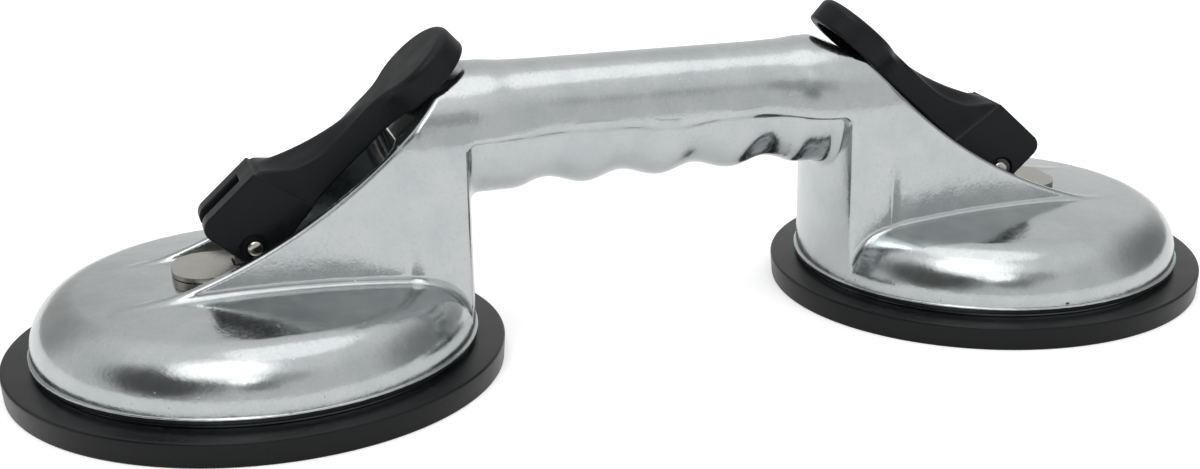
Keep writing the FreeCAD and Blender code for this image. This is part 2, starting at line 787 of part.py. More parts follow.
def lever_placement(body, side):
    """Hang a body drawn about the pin at the released lever's angle."""
    tilt = FreeCAD.Rotation(FreeCAD.Vector(0, 1, 0), -sizes["lever_angle"].number)
    turn = FreeCAD.Rotation(FreeCAD.Vector(0, 0, 1), 180 if side > 0 else 0)
    body.Placement = FreeCAD.Placement(FreeCAD.Vector(), turn * tilt)
    bind(body, Placement__Base__x=sizes["head_spacing"] / 2 * side,
         Placement__Base__z=sizes["pin_height"])
    return body


def lever_side(name):
    """Side view of the lever: cam block, hollow-topped arm and thumb pad."""
    end = -sizes["block_end"]
    rise = sizes["block_rise"]
    corner = sizes["cam_corner"]
    top_end = sizes["block_length"]
    arm_start = top_end + sizes["shoulder_run"]
    arm_rise = rise - sizes["shoulder_drop"]
    dip = (sizes["arm_dip_reach"], sizes["arm_dip_rise"])
    tip = sizes["thumb_reach"] + sizes["thumb_radius"]
    thumb_top = sizes["thumb_rise"]
    thumb_low = -sizes["thumb_depth"]
    nose = sizes["thumb_radius"] / 6
    thumb_start = sizes["thumb_reach"] - sizes["thumb_radius"]
    sketch = plane_sketch(name, "XZ")
    outline(sketch, [
        (end, 0), (0, end), (sizes["block_under"], -sizes["arm_depth"]),
        (thumb_start, -sizes["arm_depth"]), (thumb_start + nose, thumb_low),
        (tip - nose / 2, thumb_low), (tip, thumb_low + nose), (tip, thumb_top - nose),
        (tip - nose, thumb_top), (thumb_start + nose * 2, thumb_top), dip,
        (arm_start, arm_rise), (top_end, rise), (end + corner, rise), (end, rise - corner)],
        {0: (sizes["block_end"], "left"), 10: (sizes["arm_top_radius"], "right"),
         13: (corner, "left")})
    return sketch


def lever_plan(name):
    """Top view of the lever: square block, waisted arm and round thumb pad."""
    end = -sizes["block_end"]
    block = sizes["block_width"] / 2
    arm = sizes["arm_root_width"] / 2
    waist = sizes["waist_width"] / 2
    shoulder_reach = sizes["block_length"] + sizes["shoulder_run"]
    arm_start = shoulder_reach + sizes["shoulder_run"]
    middle = sizes["thumb_reach"]
    radius = sizes["thumb_radius"]
    meet = (middle + radius * cosine(sizes["flare_angle"]),
            radius * sine(sizes["flare_angle"]))
    tip = (middle + radius, as_size(0))
    sketch = plane_sketch(name, "XY")
    outline(sketch, [
        (end, -block), (shoulder_reach, -block), (arm_start, -arm),
        (sizes["waist_reach"], -waist), (meet[0], -meet[1]), tip, meet,
        (sizes["waist_reach"], waist), (arm_start, arm), (shoulder_reach, block),
        (end, block)],
        {3: (sizes["flare_radius"], "right"), 4: (radius, "left"), 5: (radius, "left"),
         6: (sizes["flare_radius"], "right")})
    return sketch


def lever(name, side):
    """Moulded cam lever, forked for the stem and bored for the pin."""
    wide = sizes["thumb_radius"] * 1.5
    deep = sizes["block_rise"] * 1.5
    side_view = extrusion(name + "_side_block", lever_side(name + "_side"), wide, wide)
    plan_view = extrusion(name + "_plan_block", lever_plan(name + "_plan"), deep, deep)
    blank = document.addObject("Part::Common", name + "_blank")
    blank.Base = side_view
    blank.Tool = plan_view
    block = sizes["block_width"] / 2
    gap = sizes["stem_thickness"] / 2 + sizes["clevis_gap"]
    slot = box(name + "_clevis", (-sizes["block_end"] * 2, -gap, -sizes["block_rise"]),
               (sizes["clevis_depth"], gap, sizes["block_rise"] * 2))
    bore = document.addObject("Part::Cylinder", name + "_bore")
    bore.Placement.Rotation = FreeCAD.Rotation(FreeCAD.Vector(1, 0, 0), 90)
    bind(bore, Radius=sizes["pin_radius"] + sizes["pin_fit"], Height=block * 4,
         Placement__Base__y=block * 2)
    recesses = []
    for face in (-1, 1):
        recess = document.addObject("Part::Cylinder", "%s_recess_%d" % (name, face + 2))
        recess.Placement.Rotation = FreeCAD.Rotation(FreeCAD.Vector(1, 0, 0), -90 * face)
        bind(recess, Radius=sizes["recess_radius"], Height=block,
             Placement__Base__y=(block - sizes["recess_depth"]) * face)
        recesses.append(recess)
    hollow = document.addObject("Part::Cylinder", name + "_hollow")
    bind(hollow, Radius=sizes["thumb_radius"] - sizes["thumb_wall"], Height=deep,
         Placement__Base__x=sizes["thumb_reach"],
         Placement__Base__z=sizes["thumb_hollow"] - sizes["thumb_depth"] - deep)
    openings = group("Part::MultiFuse", name + "_openings", [slot, bore, hollow] + recesses)
    finished = cut(name, blank, openings)
    finished.Label = name
    return lever_placement(finished, side)


def lever_pin(name, side):
    """Steel pin, domed at one end, that ends flush in the lever's recesses."""
    radius = sizes["pin_radius"]
    half = sizes["block_width"] / 2
    dome = sizes["pin_dome"]
    body = new_body(name)
    sketch = outline(body_sketch(body, name + "_section", "XY"), [
        (0, -half - dome), (radius * 0.8, -half), (radius, dome - half), (radius, half),
        (0, half)])
    turned_feature(body, sketch, name + "_shaft")
    return lever_placement(body, side)


def pin_clip(name, side):
    """Open spring clip round the pin's plain end, inside the lever's recess."""
    outer = sizes["clip_radius"]
    inner = sizes["pin_radius"] + sizes["pin_fit"]
    floor = sizes["block_width"] / 2 - sizes["recess_depth"]
    body = new_body(name)
    sketch = body_sketch(body, name + "_outline", "XZ")
    ring(sketch, outer)
    ring(sketch, inner)
    disc = padded(body, sketch, name + "_ring", sizes["clip_thickness"], False)
    disc.Reversed = True
    mouth = sizes["clip_mouth"] / 2
    gap = outline(body_sketch(body, name + "_mouth_outline", "XZ"), [
        (0, -mouth), (outer * 2, -mouth), (outer * 2, mouth), (0, mouth)])
    pocketed(body, gap, name + "_mouth", sizes["block_width"])
    lever_placement(body, side)
    offset = floor + sizes["clip_gap"]
    bind(body, Placement__Base__y=offset * -side)
    return body


# ---------------------------------------------------------------- build and write

def build():
    subparts = [cast_body()]
    for side, where in ((-1, "left"), (1, "right")):
        subparts.append(rubber_pad("rubber_pad_" + where, side))
        subparts.append(backing_plate("backing_plate_" + where, side))
        subparts.append(draw_stem("draw_stem_" + where, side))
        subparts.append(wear_plate("wear_plate_" + where, side))
        subparts.append(lever("lever_" + where, side))
        subparts.append(lever_pin("lever_pin_" + where, side))
        subparts.append(pin_clip("pin_clip_" + where, side))
    return subparts


def check_and_write(subparts):
    failed = [feature.Label for feature in document.Objects
              if "Invalid" in feature.State or "Error" in feature.State]
    if failed:
        raise RuntimeError("failed features: " + ", ".join(failed))
    for part in subparts:
        if part.Shape.isNull() or not part.Shape.isValid() or not part.Shape.Solids:
            raise RuntimeError("bad shape: " + part.Label)
    os.makedirs("parts", exist_ok=True)
    for part in subparts:
        part.Shape.exportStep("parts/%s.step" % part.Label)
        bounds = part.Shape.BoundBox
        print("%-20s %d solid(s) %10.1f mm3  x %.1f..%.1f  y %.1f..%.1f  z %.1f..%.1f" % (
            part.Label, len(part.Shape.Solids), part.Shape.Volume, bounds.XMin, bounds.XMax,
            bounds.YMin, bounds.YMax, bounds.ZMin, bounds.ZMax))


parts = build()
document.recompute()
check_and_write(parts)
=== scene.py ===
# %% [markdown]
# # A floor tile suction lifter
# The tool is one bright die casting with a rubber suction pad under each end.
# On each head a black cam lever leans against the handle, pinned to a stem
# that pulls the middle of the pad up when the lever is thrown outward.
#
# This lesson dresses the lifter. The imported frame gives the place of every
# part, so the first cell loads it.

import math
from itertools import product

import bmesh
import bpy
import numpy as np
from mathutils import Matrix, Vector


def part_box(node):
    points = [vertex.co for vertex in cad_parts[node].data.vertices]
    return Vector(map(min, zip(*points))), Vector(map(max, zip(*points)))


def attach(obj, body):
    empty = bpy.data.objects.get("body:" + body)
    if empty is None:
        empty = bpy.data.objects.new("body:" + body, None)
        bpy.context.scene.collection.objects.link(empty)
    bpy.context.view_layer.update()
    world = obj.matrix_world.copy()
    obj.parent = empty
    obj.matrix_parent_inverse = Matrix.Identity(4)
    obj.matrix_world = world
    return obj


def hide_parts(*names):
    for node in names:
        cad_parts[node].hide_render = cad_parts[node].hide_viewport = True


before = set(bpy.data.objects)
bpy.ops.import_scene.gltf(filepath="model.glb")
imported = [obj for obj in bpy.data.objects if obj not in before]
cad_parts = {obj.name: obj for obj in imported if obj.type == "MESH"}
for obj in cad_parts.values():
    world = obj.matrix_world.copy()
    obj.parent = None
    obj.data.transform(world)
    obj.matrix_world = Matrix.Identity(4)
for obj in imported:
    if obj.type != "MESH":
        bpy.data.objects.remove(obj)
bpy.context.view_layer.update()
print("nodes:", ", ".join(sorted(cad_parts)))

# %% [markdown]
# Shapes are easiest to think about in millimetres, while Blender's scene is
# in metres. Everything below is worked out in millimetres and multiplied by
# MM once, when a mesh is made. The main places are read from the frame.

# %% Places taken from the frame
MM = 0.001


def box_mm(node):
    """Lowest and highest corner of a frame part, in millimetres."""
    low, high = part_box(node)
    return np.array(low) / MM, np.array(high) / MM


cast_low, cast_high = box_mm("cast_body")
pad_low, pad_high = box_mm("rubber_pad_right")
pin_low, pin_high = box_mm("lever_pin_right")
plate_low, plate_high = box_mm("wear_plate_right")

HEAD_X = (pad_low[0] + pad_high[0]) / 2
PAD_RADIUS = (pad_high[0] - pad_low[0]) / 2
PAD_TOP = pad_high[2]
PIN_Z = (pin_low[2] + pin_high[2]) / 2
PIN_RADIUS = (pin_high[2] - pin_low[2]) / 2
PLATE_BOTTOM = plate_low[2]
CAST_TOP = cast_high[2]
SIDES = {"left": -1, "right": 1}
print("head spacing %.1f mm, pin %.1f mm up" % (2 * HEAD_X, PIN_Z))

# %% [markdown]
# ## Camera
# The lifter is seen from a little above and to the left of its middle, close
# enough for the near head to look larger than the far one. A target point, a
# distance and two angles place the camera, and a small lens shift frames the
# tool without turning the camera, so upright edges keep their slant.

# %% Camera
CAMERA_AZIMUTH = math.radians(-21.34)
CAMERA_HEIGHT_ANGLE = math.radians(18.45)
CAMERA_ROLL = math.radians(0.54)
CAMERA_DISTANCE = 497.1 * MM
CAMERA_TARGET = Vector((27.5, 0.0, 20.2)) * MM
SENSOR_WIDTH = 36.0
FOCAL_LENGTH = 55.84
LENS_SHIFT = (-0.1197, -0.0027)


def add_camera():
    lens = bpy.data.cameras.new("product_camera")
    lens.sensor_width = SENSOR_WIDTH
    lens.lens = FOCAL_LENGTH
    lens.shift_x, lens.shift_y = LENS_SHIFT
    lens.clip_start = 0.02
    lens.clip_end = 50.0
    camera = bpy.data.objects.new("product_camera", lens)
    bpy.context.scene.collection.objects.link(camera)
    back = Vector((
        math.sin(CAMERA_AZIMUTH) * math.cos(CAMERA_HEIGHT_ANGLE),
        -math.cos(CAMERA_AZIMUTH) * math.cos(CAMERA_HEIGHT_ANGLE),
        math.sin(CAMERA_HEIGHT_ANGLE)))
    turn = (-back).to_track_quat("-Z", "Y").to_matrix().to_4x4()
    roll = Matrix.Rotation(CAMERA_ROLL, 4, "Z")
    place = Matrix.Translation(CAMERA_TARGET + back * CAMERA_DISTANCE)
    camera.matrix_world = place @ turn @ roll
    bpy.context.scene.camera = camera


add_camera()
print("camera: %.1f mm lens, %.0f mm from its target" % (FOCAL_LENGTH, CAMERA_DISTANCE / MM))

# %% [markdown]
# ## Shapes from distance fields
# A die casting is one flowing skin: walls melt into domes through fillets of
# a few millimetres, and every outer edge has been tumbled round. Bevels on a
# cut-up mesh fight such forms. A distance field makes them easy. It is a
# formula that says how far any point is from the surface, negative inside.
# Two formulas joined by a rounded minimum meet in a true fillet, and a
# rounded maximum leaves a rounded edge.

# %% Rounded joins
def joined(a, b, radius):
    """Either shape, with a hollow fillet where they meet."""
    reach_a = np.maximum(radius - a, 0.0)
    reach_b = np.maximum(radius - b, 0.0)
    return np.maximum(radius, np.minimum(a, b)) - np.hypot(reach_a, reach_b)


def shared(a, b, radius):
    """What two shapes have in common, with a rounded edge where they cross."""
    reach_a = np.maximum(radius + a, 0.0)
    reach_b = np.maximum(radius + b, 0.0)
    return np.minimum(-radius, np.maximum(a, b)) + np.hypot(reach_a, reach_b)


def eased(value, start, end):
    """0 before start, 1 after end, and a smooth ramp between them."""
    t = np.clip((value - start) / (end - start), 0.0, 1.0)
    return t * t * (3.0 - 2.0 * t)


def mixed(a, b, share):
    return a + (b - a) * share


print("0.5 mm from two square walls is %.2f mm inside a 2 mm fillet" % -joined(0.5, 0.5, 2.0))

# %% [markdown]
# A net of quads turns a field into a mesh. The field is sampled on a grid of
# small cubes, and only near the surface, because the rest of the box is
# nothing but air or solid metal. A small ball tries the helpers out.

# %% Sampling a field
BLOCK = 4
FAR_ENOUGH = 1.6


def worked_out(shape, points):
    """The field at many points, some at a time to spare memory."""
    parts = np.array_split(points, len(points) // 400000 + 1)
    return np.concatenate([shape(*part.T) for part in parts])


def sampled(shape, low, high, cell):
    """The field on a grid over a box, exact only in blocks near the surface."""
    origin = np.array(low) - 2.5 * cell
    blocks = np.ceil((np.array(high) - origin + 2.5 * cell) / (cell * BLOCK)).astype(int)
    corner = np.argwhere(np.ones(blocks, bool)) * BLOCK
    middle = worked_out(shape, (corner + (BLOCK - 1) / 2) * cell + origin)
    field = np.repeat(middle.reshape(blocks), BLOCK, 0).astype(np.float32)
    field = np.repeat(np.repeat(field, BLOCK, 1), BLOCK, 2)
    near = corner[np.abs(middle) < FAR_ENOUGH * cell * BLOCK * math.sqrt(3) / 2]
    steps = np.argwhere(np.ones((BLOCK, BLOCK, BLOCK), bool))
    places = (near[:, None] + steps[None]).reshape(-1, 3)
    field[tuple(places.T)] = worked_out(shape, places * cell + origin)
    return field, origin


def slope_at(points, shape, step=0.02):
    """The field's value and slope at each point."""
    x, y, z = points.T
    slope = np.stack([
        shape(x + step, y, z) - shape(x - step, y, z),
        shape(x, y + step, z) - shape(x, y - step, z),
        shape(x, y, z + step) - shape(x, y, z - step)], 1) / (2 * step)
    return shape(x, y, z), slope


def ball(x, y, z):
    return np.sqrt(x * x + y * y + z * z) - 5.0


ball_box = (-5.0,) * 3, (5.0,) * 3
print("grid round a 5 mm ball:", sampled(ball, *ball_box, 1.0)[0].shape)

# %% [markdown]
# Each grid edge that crosses the surface joins the four cubes round it with a
# quad. A cube's vertex goes where the tangent planes of its crossings meet,
# found by least squares. On smooth skin that is a point of the surface, and at
# an edge or corner it is the edge or corner itself, so nothing looks chewed.

# %% Netting the surface
HOLD = 0.05
LONGEST_MOVE = 0.8
LEAST_SLOPE = 0.05


def meeting_points(sums, cell):
    """The point of each cube that lies closest to all its tangent planes."""
    middle = (sums[9:12] / sums[12]).T
    spread = sums[[0, 1, 2, 1, 3, 4, 2, 4, 5]].T.reshape(-1, 3, 3)
    wanted = sums[6:9].T - np.einsum("nij,nj->ni", spread, middle)
    held = spread + (HOLD * sums[12])[:, None, None] * np.eye(3)
    move = np.linalg.solve(held, wanted[..., None])[..., 0]
    return middle + np.clip(move, -LONGEST_MOVE * cell, LONGEST_MOVE * cell)


def netted(shape, low, high, cell):
    """Points and quads of the surface where the field is zero."""
    field, origin = sampled(shape, low, high, cell)
    inside = field < 0
    nx, ny, nz = np.array(field.shape) - 1
    corners_in = np.zeros((nx, ny, nz), np.int8)
    for i, j, k in product((0, 1), repeat=3):
        corners_in += inside[i:nx + i, j:ny + j, k:nz + k]
    on_surface = (corners_in > 0) & (corners_in < 8)
    count = int(on_surface.sum())
    number = np.full(on_surface.shape, -1, np.int64)
    number[on_surface] = np.arange(count)
    sums = np.zeros((13, count))
    quads = []
    for axis in range(3):
        b_axis, c_axis = (axis + 1) % 3, (axis + 2) % 3
        part = [slice(1, -1)] * 3
        part[axis] = slice(0, -1)
        here = tuple(part)
        part[axis] = slice(1, None)
        there = tuple(part)
        crosses = inside[here] != inside[there]
        first, second = field[here][crosses], field[there][crosses]
        edges = np.argwhere(crosses)
        edges[:, [b_axis, c_axis]] += 1
        points = edges.astype(float)
        points[:, axis] += first / (first - second)
        points = points * cell + origin
        value, slope = slope_at(points, shape)
        steep = np.maximum(np.linalg.norm(slope, axis=1), LEAST_SLOPE)
        normal = (slope / steep[:, None]).T
        plane = (normal * points.T).sum(0) - value / steep
        rows = [normal[i] * normal[j] for i in range(3) for j in range(i, 3)]
        rows += [n * plane for n in normal] + list(points.T) + [np.ones(len(plane))]
        ring = []
        for b_step, c_step in ((-1, -1), (0, -1), (0, 0), (-1, 0)):
            beside = edges.copy()
            beside[:, b_axis] += b_step
            beside[:, c_axis] += c_step
            ring.append(number[tuple(beside.T)])
            for total, row in zip(sums, rows):
                total += np.bincount(ring[-1], row, count)
        quad = np.stack(ring, 1)
        quad[first > 0] = quad[first > 0][:, ::-1]
        quads.append(quad)
    return meeting_points(sums, cell), np.concatenate(quads)


ball_points, ball_quads = netted(ball, *ball_box, 1.0)
print("the ball: %d quads, at most %.3f mm off" % (
    len(ball_quads), np.abs(ball(*ball_points.T)).max()))

# %% [markdown]
# The last helpers make the Blender object. A fine net of a large casting would
# be too heavy, so a Decimate modifier merges triangles where the skin is flat.
# The field's own slope then gives exact shading normals, so even fairly large
# triangles shine like a smooth casting.

# %% Fields into objects
NORMAL_STEP = 0.15


def link(name, mesh):
    piece = bpy.data.objects.new(name, mesh)
    bpy.context.scene.collection.objects.link(piece)
    return piece


def applied(piece):
    """The piece with its modifiers turned into plain mesh."""
    graph = bpy.context.evaluated_depsgraph_get()
    made = bpy.data.meshes.new_from_object(piece.evaluated_get(graph))
    piece.modifiers.clear()
    old = piece.data
    piece.data = made
    bpy.data.meshes.remove(old)
    made.name = piece.name
    return piece


def points_of(mesh):
    flat = np.empty(len(mesh.vertices) * 3, np.float32)
    mesh.vertices.foreach_get("co", flat)
    return flat.reshape(-1, 3).astype(float)


def skinned(name, shape, low, high, cell, most_triangles, place=Matrix()):
    """A mesh object over a distance field, in metres and moved by place."""
    points, quads = netted(shape, low, high, cell)
    mesh = bpy.data.meshes.new(name)
    mesh.from_pydata(points.tolist(), [], quads.tolist())
    piece = link(name, mesh)
    if 2 * len(quads) > most_triangles:
        thinner = piece.modifiers.new("thinner", "DECIMATE")
        thinner.ratio = most_triangles / (2.0 * len(quads))
        applied(piece)
    mesh = piece.data
    points = points_of(mesh)
    value, slope = slope_at(points, shape, NORMAL_STEP)
    normals = slope / np.maximum(np.linalg.norm(slope, axis=1), 1e-6)[:, None]
    turn = np.array(place.to_3x3())
    moved = points @ turn.T * MM + np.array(place.translation) * MM
    mesh.vertices.foreach_set("co", moved.astype(np.float32).ravel())
    mesh.update()
    mesh.shade_smooth()
    mesh.normals_split_custom_set_from_vertices((normals @ turn.T).tolist())
    print("%-20s %7d faces, on average %.4f mm off its surface" % (
        name, len(mesh.polygons), np.abs(value).mean()))
    return piece


# %% [markdown]
# ## The cast heads
# Each head is a shallow drum with a broad round shoulder and an almost flat
# crown. Its skirt ends in a thin bead of flash where the die closed, above a
# slightly smaller foot that sits in the rubber. The half-section is a plain
# two-dimensional figure, and distance from the axis turns it into a dome.

# %% Dome and cavity
RIM_RADIUS = 52.8
BEAD_RADIUS = (cast_high[1] - cast_low[1]) / 2
FOOT_RADIUS = 51.8
WALL = 3.0
SHOULDER = 12.8
CROWN_RADIUS = 360.0
CROWN_HEIGHT = 25.2
CROWN_CENTRE = CROWN_HEIGHT - CROWN_RADIUS
BEAD_LOW = PAD_TOP + 1.0
BEAD_HIGH = PAD_TOP + 2.8
SKIN_BOTTOM = BEAD_HIGH - 1.3


def drum(out, z, rim, shoulder, crown_radius):
    """A drum of any height below its shoulder: side, round shoulder, crown."""
    centre_out = rim - shoulder
    centre_z = CROWN_CENTRE + math.sqrt((crown_radius - shoulder) ** 2 - centre_out ** 2)
    crown = np.hypot(out, z - CROWN_CENTRE) - crown_radius
    side = out - rim
    bend = np.hypot(out - centre_out, z - centre_z) - shoulder
    past_crown = out * (centre_z - CROWN_CENTRE) > centre_out * (z - CROWN_CENTRE)
    above_side = z > centre_z
    return np.where(past_crown & above_side, bend, np.maximum(side, crown))


def dome(out, z):
    return np.maximum(drum(out, z, RIM_RADIUS, SHOULDER, CROWN_RADIUS), SKIN_BOTTOM - z)


def cavity(out, z):
    return drum(out, z, RIM_RADIUS - WALL, SHOULDER - WALL, CROWN_RADIUS - WALL)


print("each head is %.1f mm across and %.1f mm high" % (2 * RIM_RADIUS, CROWN_HEIGHT))

# %% [markdown]
# ## Towers, wings and the thumb seat
# Over the inner half of each head stands a tower with an arched top, which
# carries the handle. Towards the outside it runs down in two thin wings that
# guard the lever. A long hollow curve trims the wings, and a flat polished
# seat at the top faces the lever's thumb pad. Between the wings a pocket with
# a leaning back leaves room for the cam.

# %% Tower shape
TOWER_HALF = 18.4
SPRING_Z = CAST_TOP - TOWER_HALF - 0.5
WING_ROOT_HALF = 17.5
WING_TIP_HALF = 16.0
COLUMN_END = 39.2
WING_START = 34.3
WING_REACH = -35.5
WING_ROOT = 35.0
ARCH_WIDENS = (58.0, 66.0)
WING_ROUND = 0.9
TIP_ROUND = 1.0
SLOPE_CORNER = np.array([43.5, CAST_TOP - 5.5])
SLOPE_TIP = np.array([-33.0, 21.8])
SLOPE_RADIUS = 137.0
SEAT_ANGLE = math.radians(25.4)
POCKET_BACK = 47.4
POCKET_FLOOR = 22.6
POCKET_LEAN = math.radians(21.6)
POCKET_ROOT_HALF = 14.7
POCKET_TIP_HALF = 13.3
POCKET_CORNER = 6.0
POCKET_DEPTH = 6.0
POCKET_ROUND = 0.7
SEAT_BLEND = 0.5


def arc_centre(start, end, radius):
    """Centre of the arc from start to end that lies on the upper left."""
    chord = end - start
    middle = (start + end) / 2
    across = np.array([chord[1], -chord[0]]) / np.linalg.norm(chord)
    return middle + across * math.sqrt(radius ** 2 - (np.linalg.norm(chord) / 2) ** 2)


SLOPE_CENTRE = arc_centre(SLOPE_CORNER, SLOPE_TIP, SLOPE_RADIUS)


def along_wing(u):
    """0 at the wings' tips and 1 at their roots, u being inward from the head's axis."""
    return (u - WING_REACH) / (WING_ROOT - WING_REACH)


def wing_half(u, z):
    """Half the width over the wings, and over the column that they grow from."""
    straight = mixed(WING_TIP_HALF, WING_ROOT_HALF, along_wing(u))
    column = eased(u, WING_START, COLUMN_END)
    return mixed(straight, TOWER_HALF, np.maximum(column, eased(z, *ARCH_WIDENS)))


def above_slope(u, z):
    """Positive where the trim and the thumb seat have taken the metal away."""
    seat = ((z - SLOPE_CORNER[1]) * math.cos(SEAT_ANGLE)
            - (u - SLOPE_CORNER[0]) * math.sin(SEAT_ANGLE))
    curve = SLOPE_RADIUS - np.hypot(u - SLOPE_CENTRE[0], z - SLOPE_CENTRE[1])
    return shared(seat, curve, SEAT_BLEND)


def pocket(u, y, z):
    half = mixed(POCKET_TIP_HALF, POCKET_ROOT_HALF, along_wing(u))
    leaning = (u - POCKET_BACK) * math.cos(POCKET_LEAN)
    leaning = leaning + (z - POCKET_FLOOR) * math.sin(POCKET_LEAN)
    back = np.maximum(leaning, u - POCKET_BACK)
    sides = shared(np.abs(y) - half, back, POCKET_CORNER)
    return np.maximum(sides, POCKET_FLOOR - POCKET_DEPTH - z)


def tower(u, y, z):
    half = wing_half(u, z)
    arch = np.where(z > SPRING_Z, np.hypot(y, z - SPRING_Z), np.abs(y)) - half
    block = shared(arch, WING_REACH - u, TIP_ROUND)
    block = shared(block, above_slope(u, z), WING_ROUND)
    block = shared(block, -pocket(u, y, z), POCKET_ROUND)
    return np.maximum(block, SKIN_BOTTOM - z)


print("the wings are %.1f mm thick at the tips and %.1f mm at the roots" % (
    WING_TIP_HALF - POCKET_TIP_HALF, WING_ROOT_HALF - POCKET_ROOT_HALF))

# %% [markdown]
# ## The handle
# The die parts along the handle's middle. The upper half is a plain round
# bar with a low collar at each end that swells into the towers. The lower
# half is a little narrower and has four finger hollows, so the parting line
# shows as a small ledge all along the side.

# %% Fingers and parting line
AXIS_Z = CAST_TOP - 16.3
FINGER_PITCH = 19.5
FINGER_FIRST = -27.6
FINGER_MEAN = 15.9
FINGER_WAVE = 1.05
GRIP_END_RADII = (17.0, 17.3)
GRIP_END_RAMPS = ((31.5, 42.0), (36.0, 41.0))
LINE_DROP = 0.5
LINE_FALL = 2.1
LINE_FALLS = (26.0, 46.0)
LINE_DIP = (1.3, 4.0, 9.0)
LINE_RISE = (0.3, -22.0, 8.0)


def finger_radius(x):
    """Radius of the grip's underside: shallow hollows between rounded lumps."""
    turns = (x - FINGER_FIRST) / FINGER_PITCH
    wave = FINGER_MEAN - FINGER_WAVE * np.cos(2 * math.pi * turns)
    left = eased(-x, *GRIP_END_RAMPS[0])
    right = eased(x, *GRIP_END_RAMPS[1])
    return mixed(mixed(wave, GRIP_END_RADII[0], left), GRIP_END_RADII[1], right)


def hump(s, height, middle, spread):
    return height * np.exp(-((s - middle) / spread) ** 2)


def parting_height(s):
    """The die's parting line, which wanders along each side of the handle."""
    dip = hump(s, *LINE_DIP) + LINE_FALL * eased(s, *LINE_FALLS)
    return AXIS_Z - LINE_DROP - dip + hump(s, *LINE_RISE)


spots = np.array([-40.0, 0.0, 40.0])
print("underside radius", finger_radius(spots).round(1),
      "and parting line", parting_height(spots).round(1), "at x =", spots)

# %% [markdown]
# The halves are two fields, since they join the towers with different fillets.
# Towards each tower the upper bar swells to the tower's width, and below the
# ledge it ends in a small gusset against the tower's round back.

# %% The two halves
GRIP_RADIUS = 15.15
COLLAR_RADIUS = 15.5
COLLAR_RAMP = (36.5, 43.0)
SWELL_START = 28.0
SWELL_LENGTH = 19.0
GUSSET = 2.6
GUSSET_TUCK = 0.7
TUCK_START = 0.2
GUSSET_MARGIN = 0.5
LEDGE_ROUND = 1.0
LEDGE_OVERLAP = 1.5
GRIP_LOWER_HALF = 14.6
LOWER_SWELL = 1.8
UNDER_ROUNDS = (2.5, 8.0)
UNDER_RAMP = (27.0, 43.0)
INTO_HEAD = 6.0


def handle_halves(x, y, z):
    """Upper and lower half of the handle, which is the same seen from either side."""
    reach = np.abs(x)
    along = np.where(y < 0, x, -x)
    share = np.clip((reach - SWELL_START) / SWELL_LENGTH, 0, 1)
    swell = (share + eased(share, 0, 1)) / 2
    collar = mixed(GRIP_RADIUS, COLLAR_RADIUS, eased(reach, *COLLAR_RAMP))
    upper_radius = collar + swell * (TOWER_HALF - COLLAR_RADIUS)
    upper = np.hypot(y, z - mixed(AXIS_Z, SPRING_Z, swell)) - upper_radius
    line = parting_height(along)
    below = line - z
    side = np.abs(y) - upper_radius + GUSSET_TUCK * eased(below, TUCK_START, GUSSET)
    wall = np.hypot(HEAD_X - reach, y) - RIM_RADIUS
    span = joined(below, wall, GUSSET)
    upper = np.where(z < AXIS_Z, np.maximum(upper, side), upper)
    upper = shared(upper, span, LEDGE_ROUND)
    upper = np.maximum(upper, line - GUSSET - GUSSET_MARGIN - z)
    around = np.hypot(y, z - AXIS_Z)
    under_round = mixed(*UNDER_ROUNDS, eased(along, *UNDER_RAMP))
    lower_half = GRIP_LOWER_HALF + LOWER_SWELL * swell
    lower = shared(around - finger_radius(x), np.abs(y) - lower_half, under_round)
    lower = np.maximum(lower, z - line - LEDGE_OVERLAP)
    end = reach - (HEAD_X - RIM_RADIUS + INTO_HEAD)
    return np.maximum(upper, end), np.maximum(lower, end)


print("the upper half swells from %.2f to %.1f mm in radius" % (GRIP_RADIUS, TOWER_HALF))


# %% [markdown]
# ## One casting
# Everything joins here, in the order in which a pattern maker would build it
# up: tower on dome with a generous fillet, the back trimmed to the drum's own
# radius, then the two halves of the handle, and last the cavity underneath,
# the flat seat for the wear plate and the slot for the stem.

# %% The casting
STEM_SLOT = (4.85, 2.85)
FOOT_FILLETS = (1.2, 1.9)
BACK_ROUND_STARTS = (14.0, 20.0)
GRIP_FILLET = 2.5
COLLAR_FILLET = 1.1
COLLAR_FILLET_END = 46.5
COLLAR_FILLET_FADE = 4.0
MOUTH_ROUND = 0.6
SEAT_CLEARANCE = 0.3
CAST_CELL = 0.55
CAST_TRIANGLES = 196000
plate_reach_out = HEAD_X - plate_high[0], HEAD_X - plate_low[0]


def casting(x, y, z):
    u = HEAD_X - np.abs(x)
    out = np.hypot(u, y)
    soft_side = eased(y * np.sign(x), -12.0, 12.0)
    head = joined(tower(u, y, z), dome(out, z), mixed(*FOOT_FILLETS, soft_side))
    back_round = eased(z, *BACK_ROUND_STARTS)
    head = np.where(u > 0, shared(head, out - RIM_RADIUS, back_round), head)
    upper, lower = handle_halves(x, y, z)
    upper = shared(upper, above_slope(u, z), SEAT_BLEND)
    body = joined(head, lower, GRIP_FILLET)
    kept = eased(COLLAR_FILLET_END - np.abs(x), 0.0, COLLAR_FILLET_FADE)
    body = joined(body, upper, COLLAR_FILLET * kept)
    body = shared(body, -cavity(out, z), MOUTH_ROUND)
    seat = np.maximum(np.abs(y) - (plate_high[1] + SEAT_CLEARANCE), PLATE_BOTTOM - z)
    seat = np.maximum(seat, plate_reach_out[0] - SEAT_CLEARANCE - u)
    seat = np.maximum(seat, u - plate_reach_out[1] - SEAT_CLEARANCE)
    slot = np.maximum(np.abs(u) - STEM_SLOT[0], np.abs(y) - STEM_SLOT[1])
    return np.maximum(np.maximum(body, -seat), -slot)


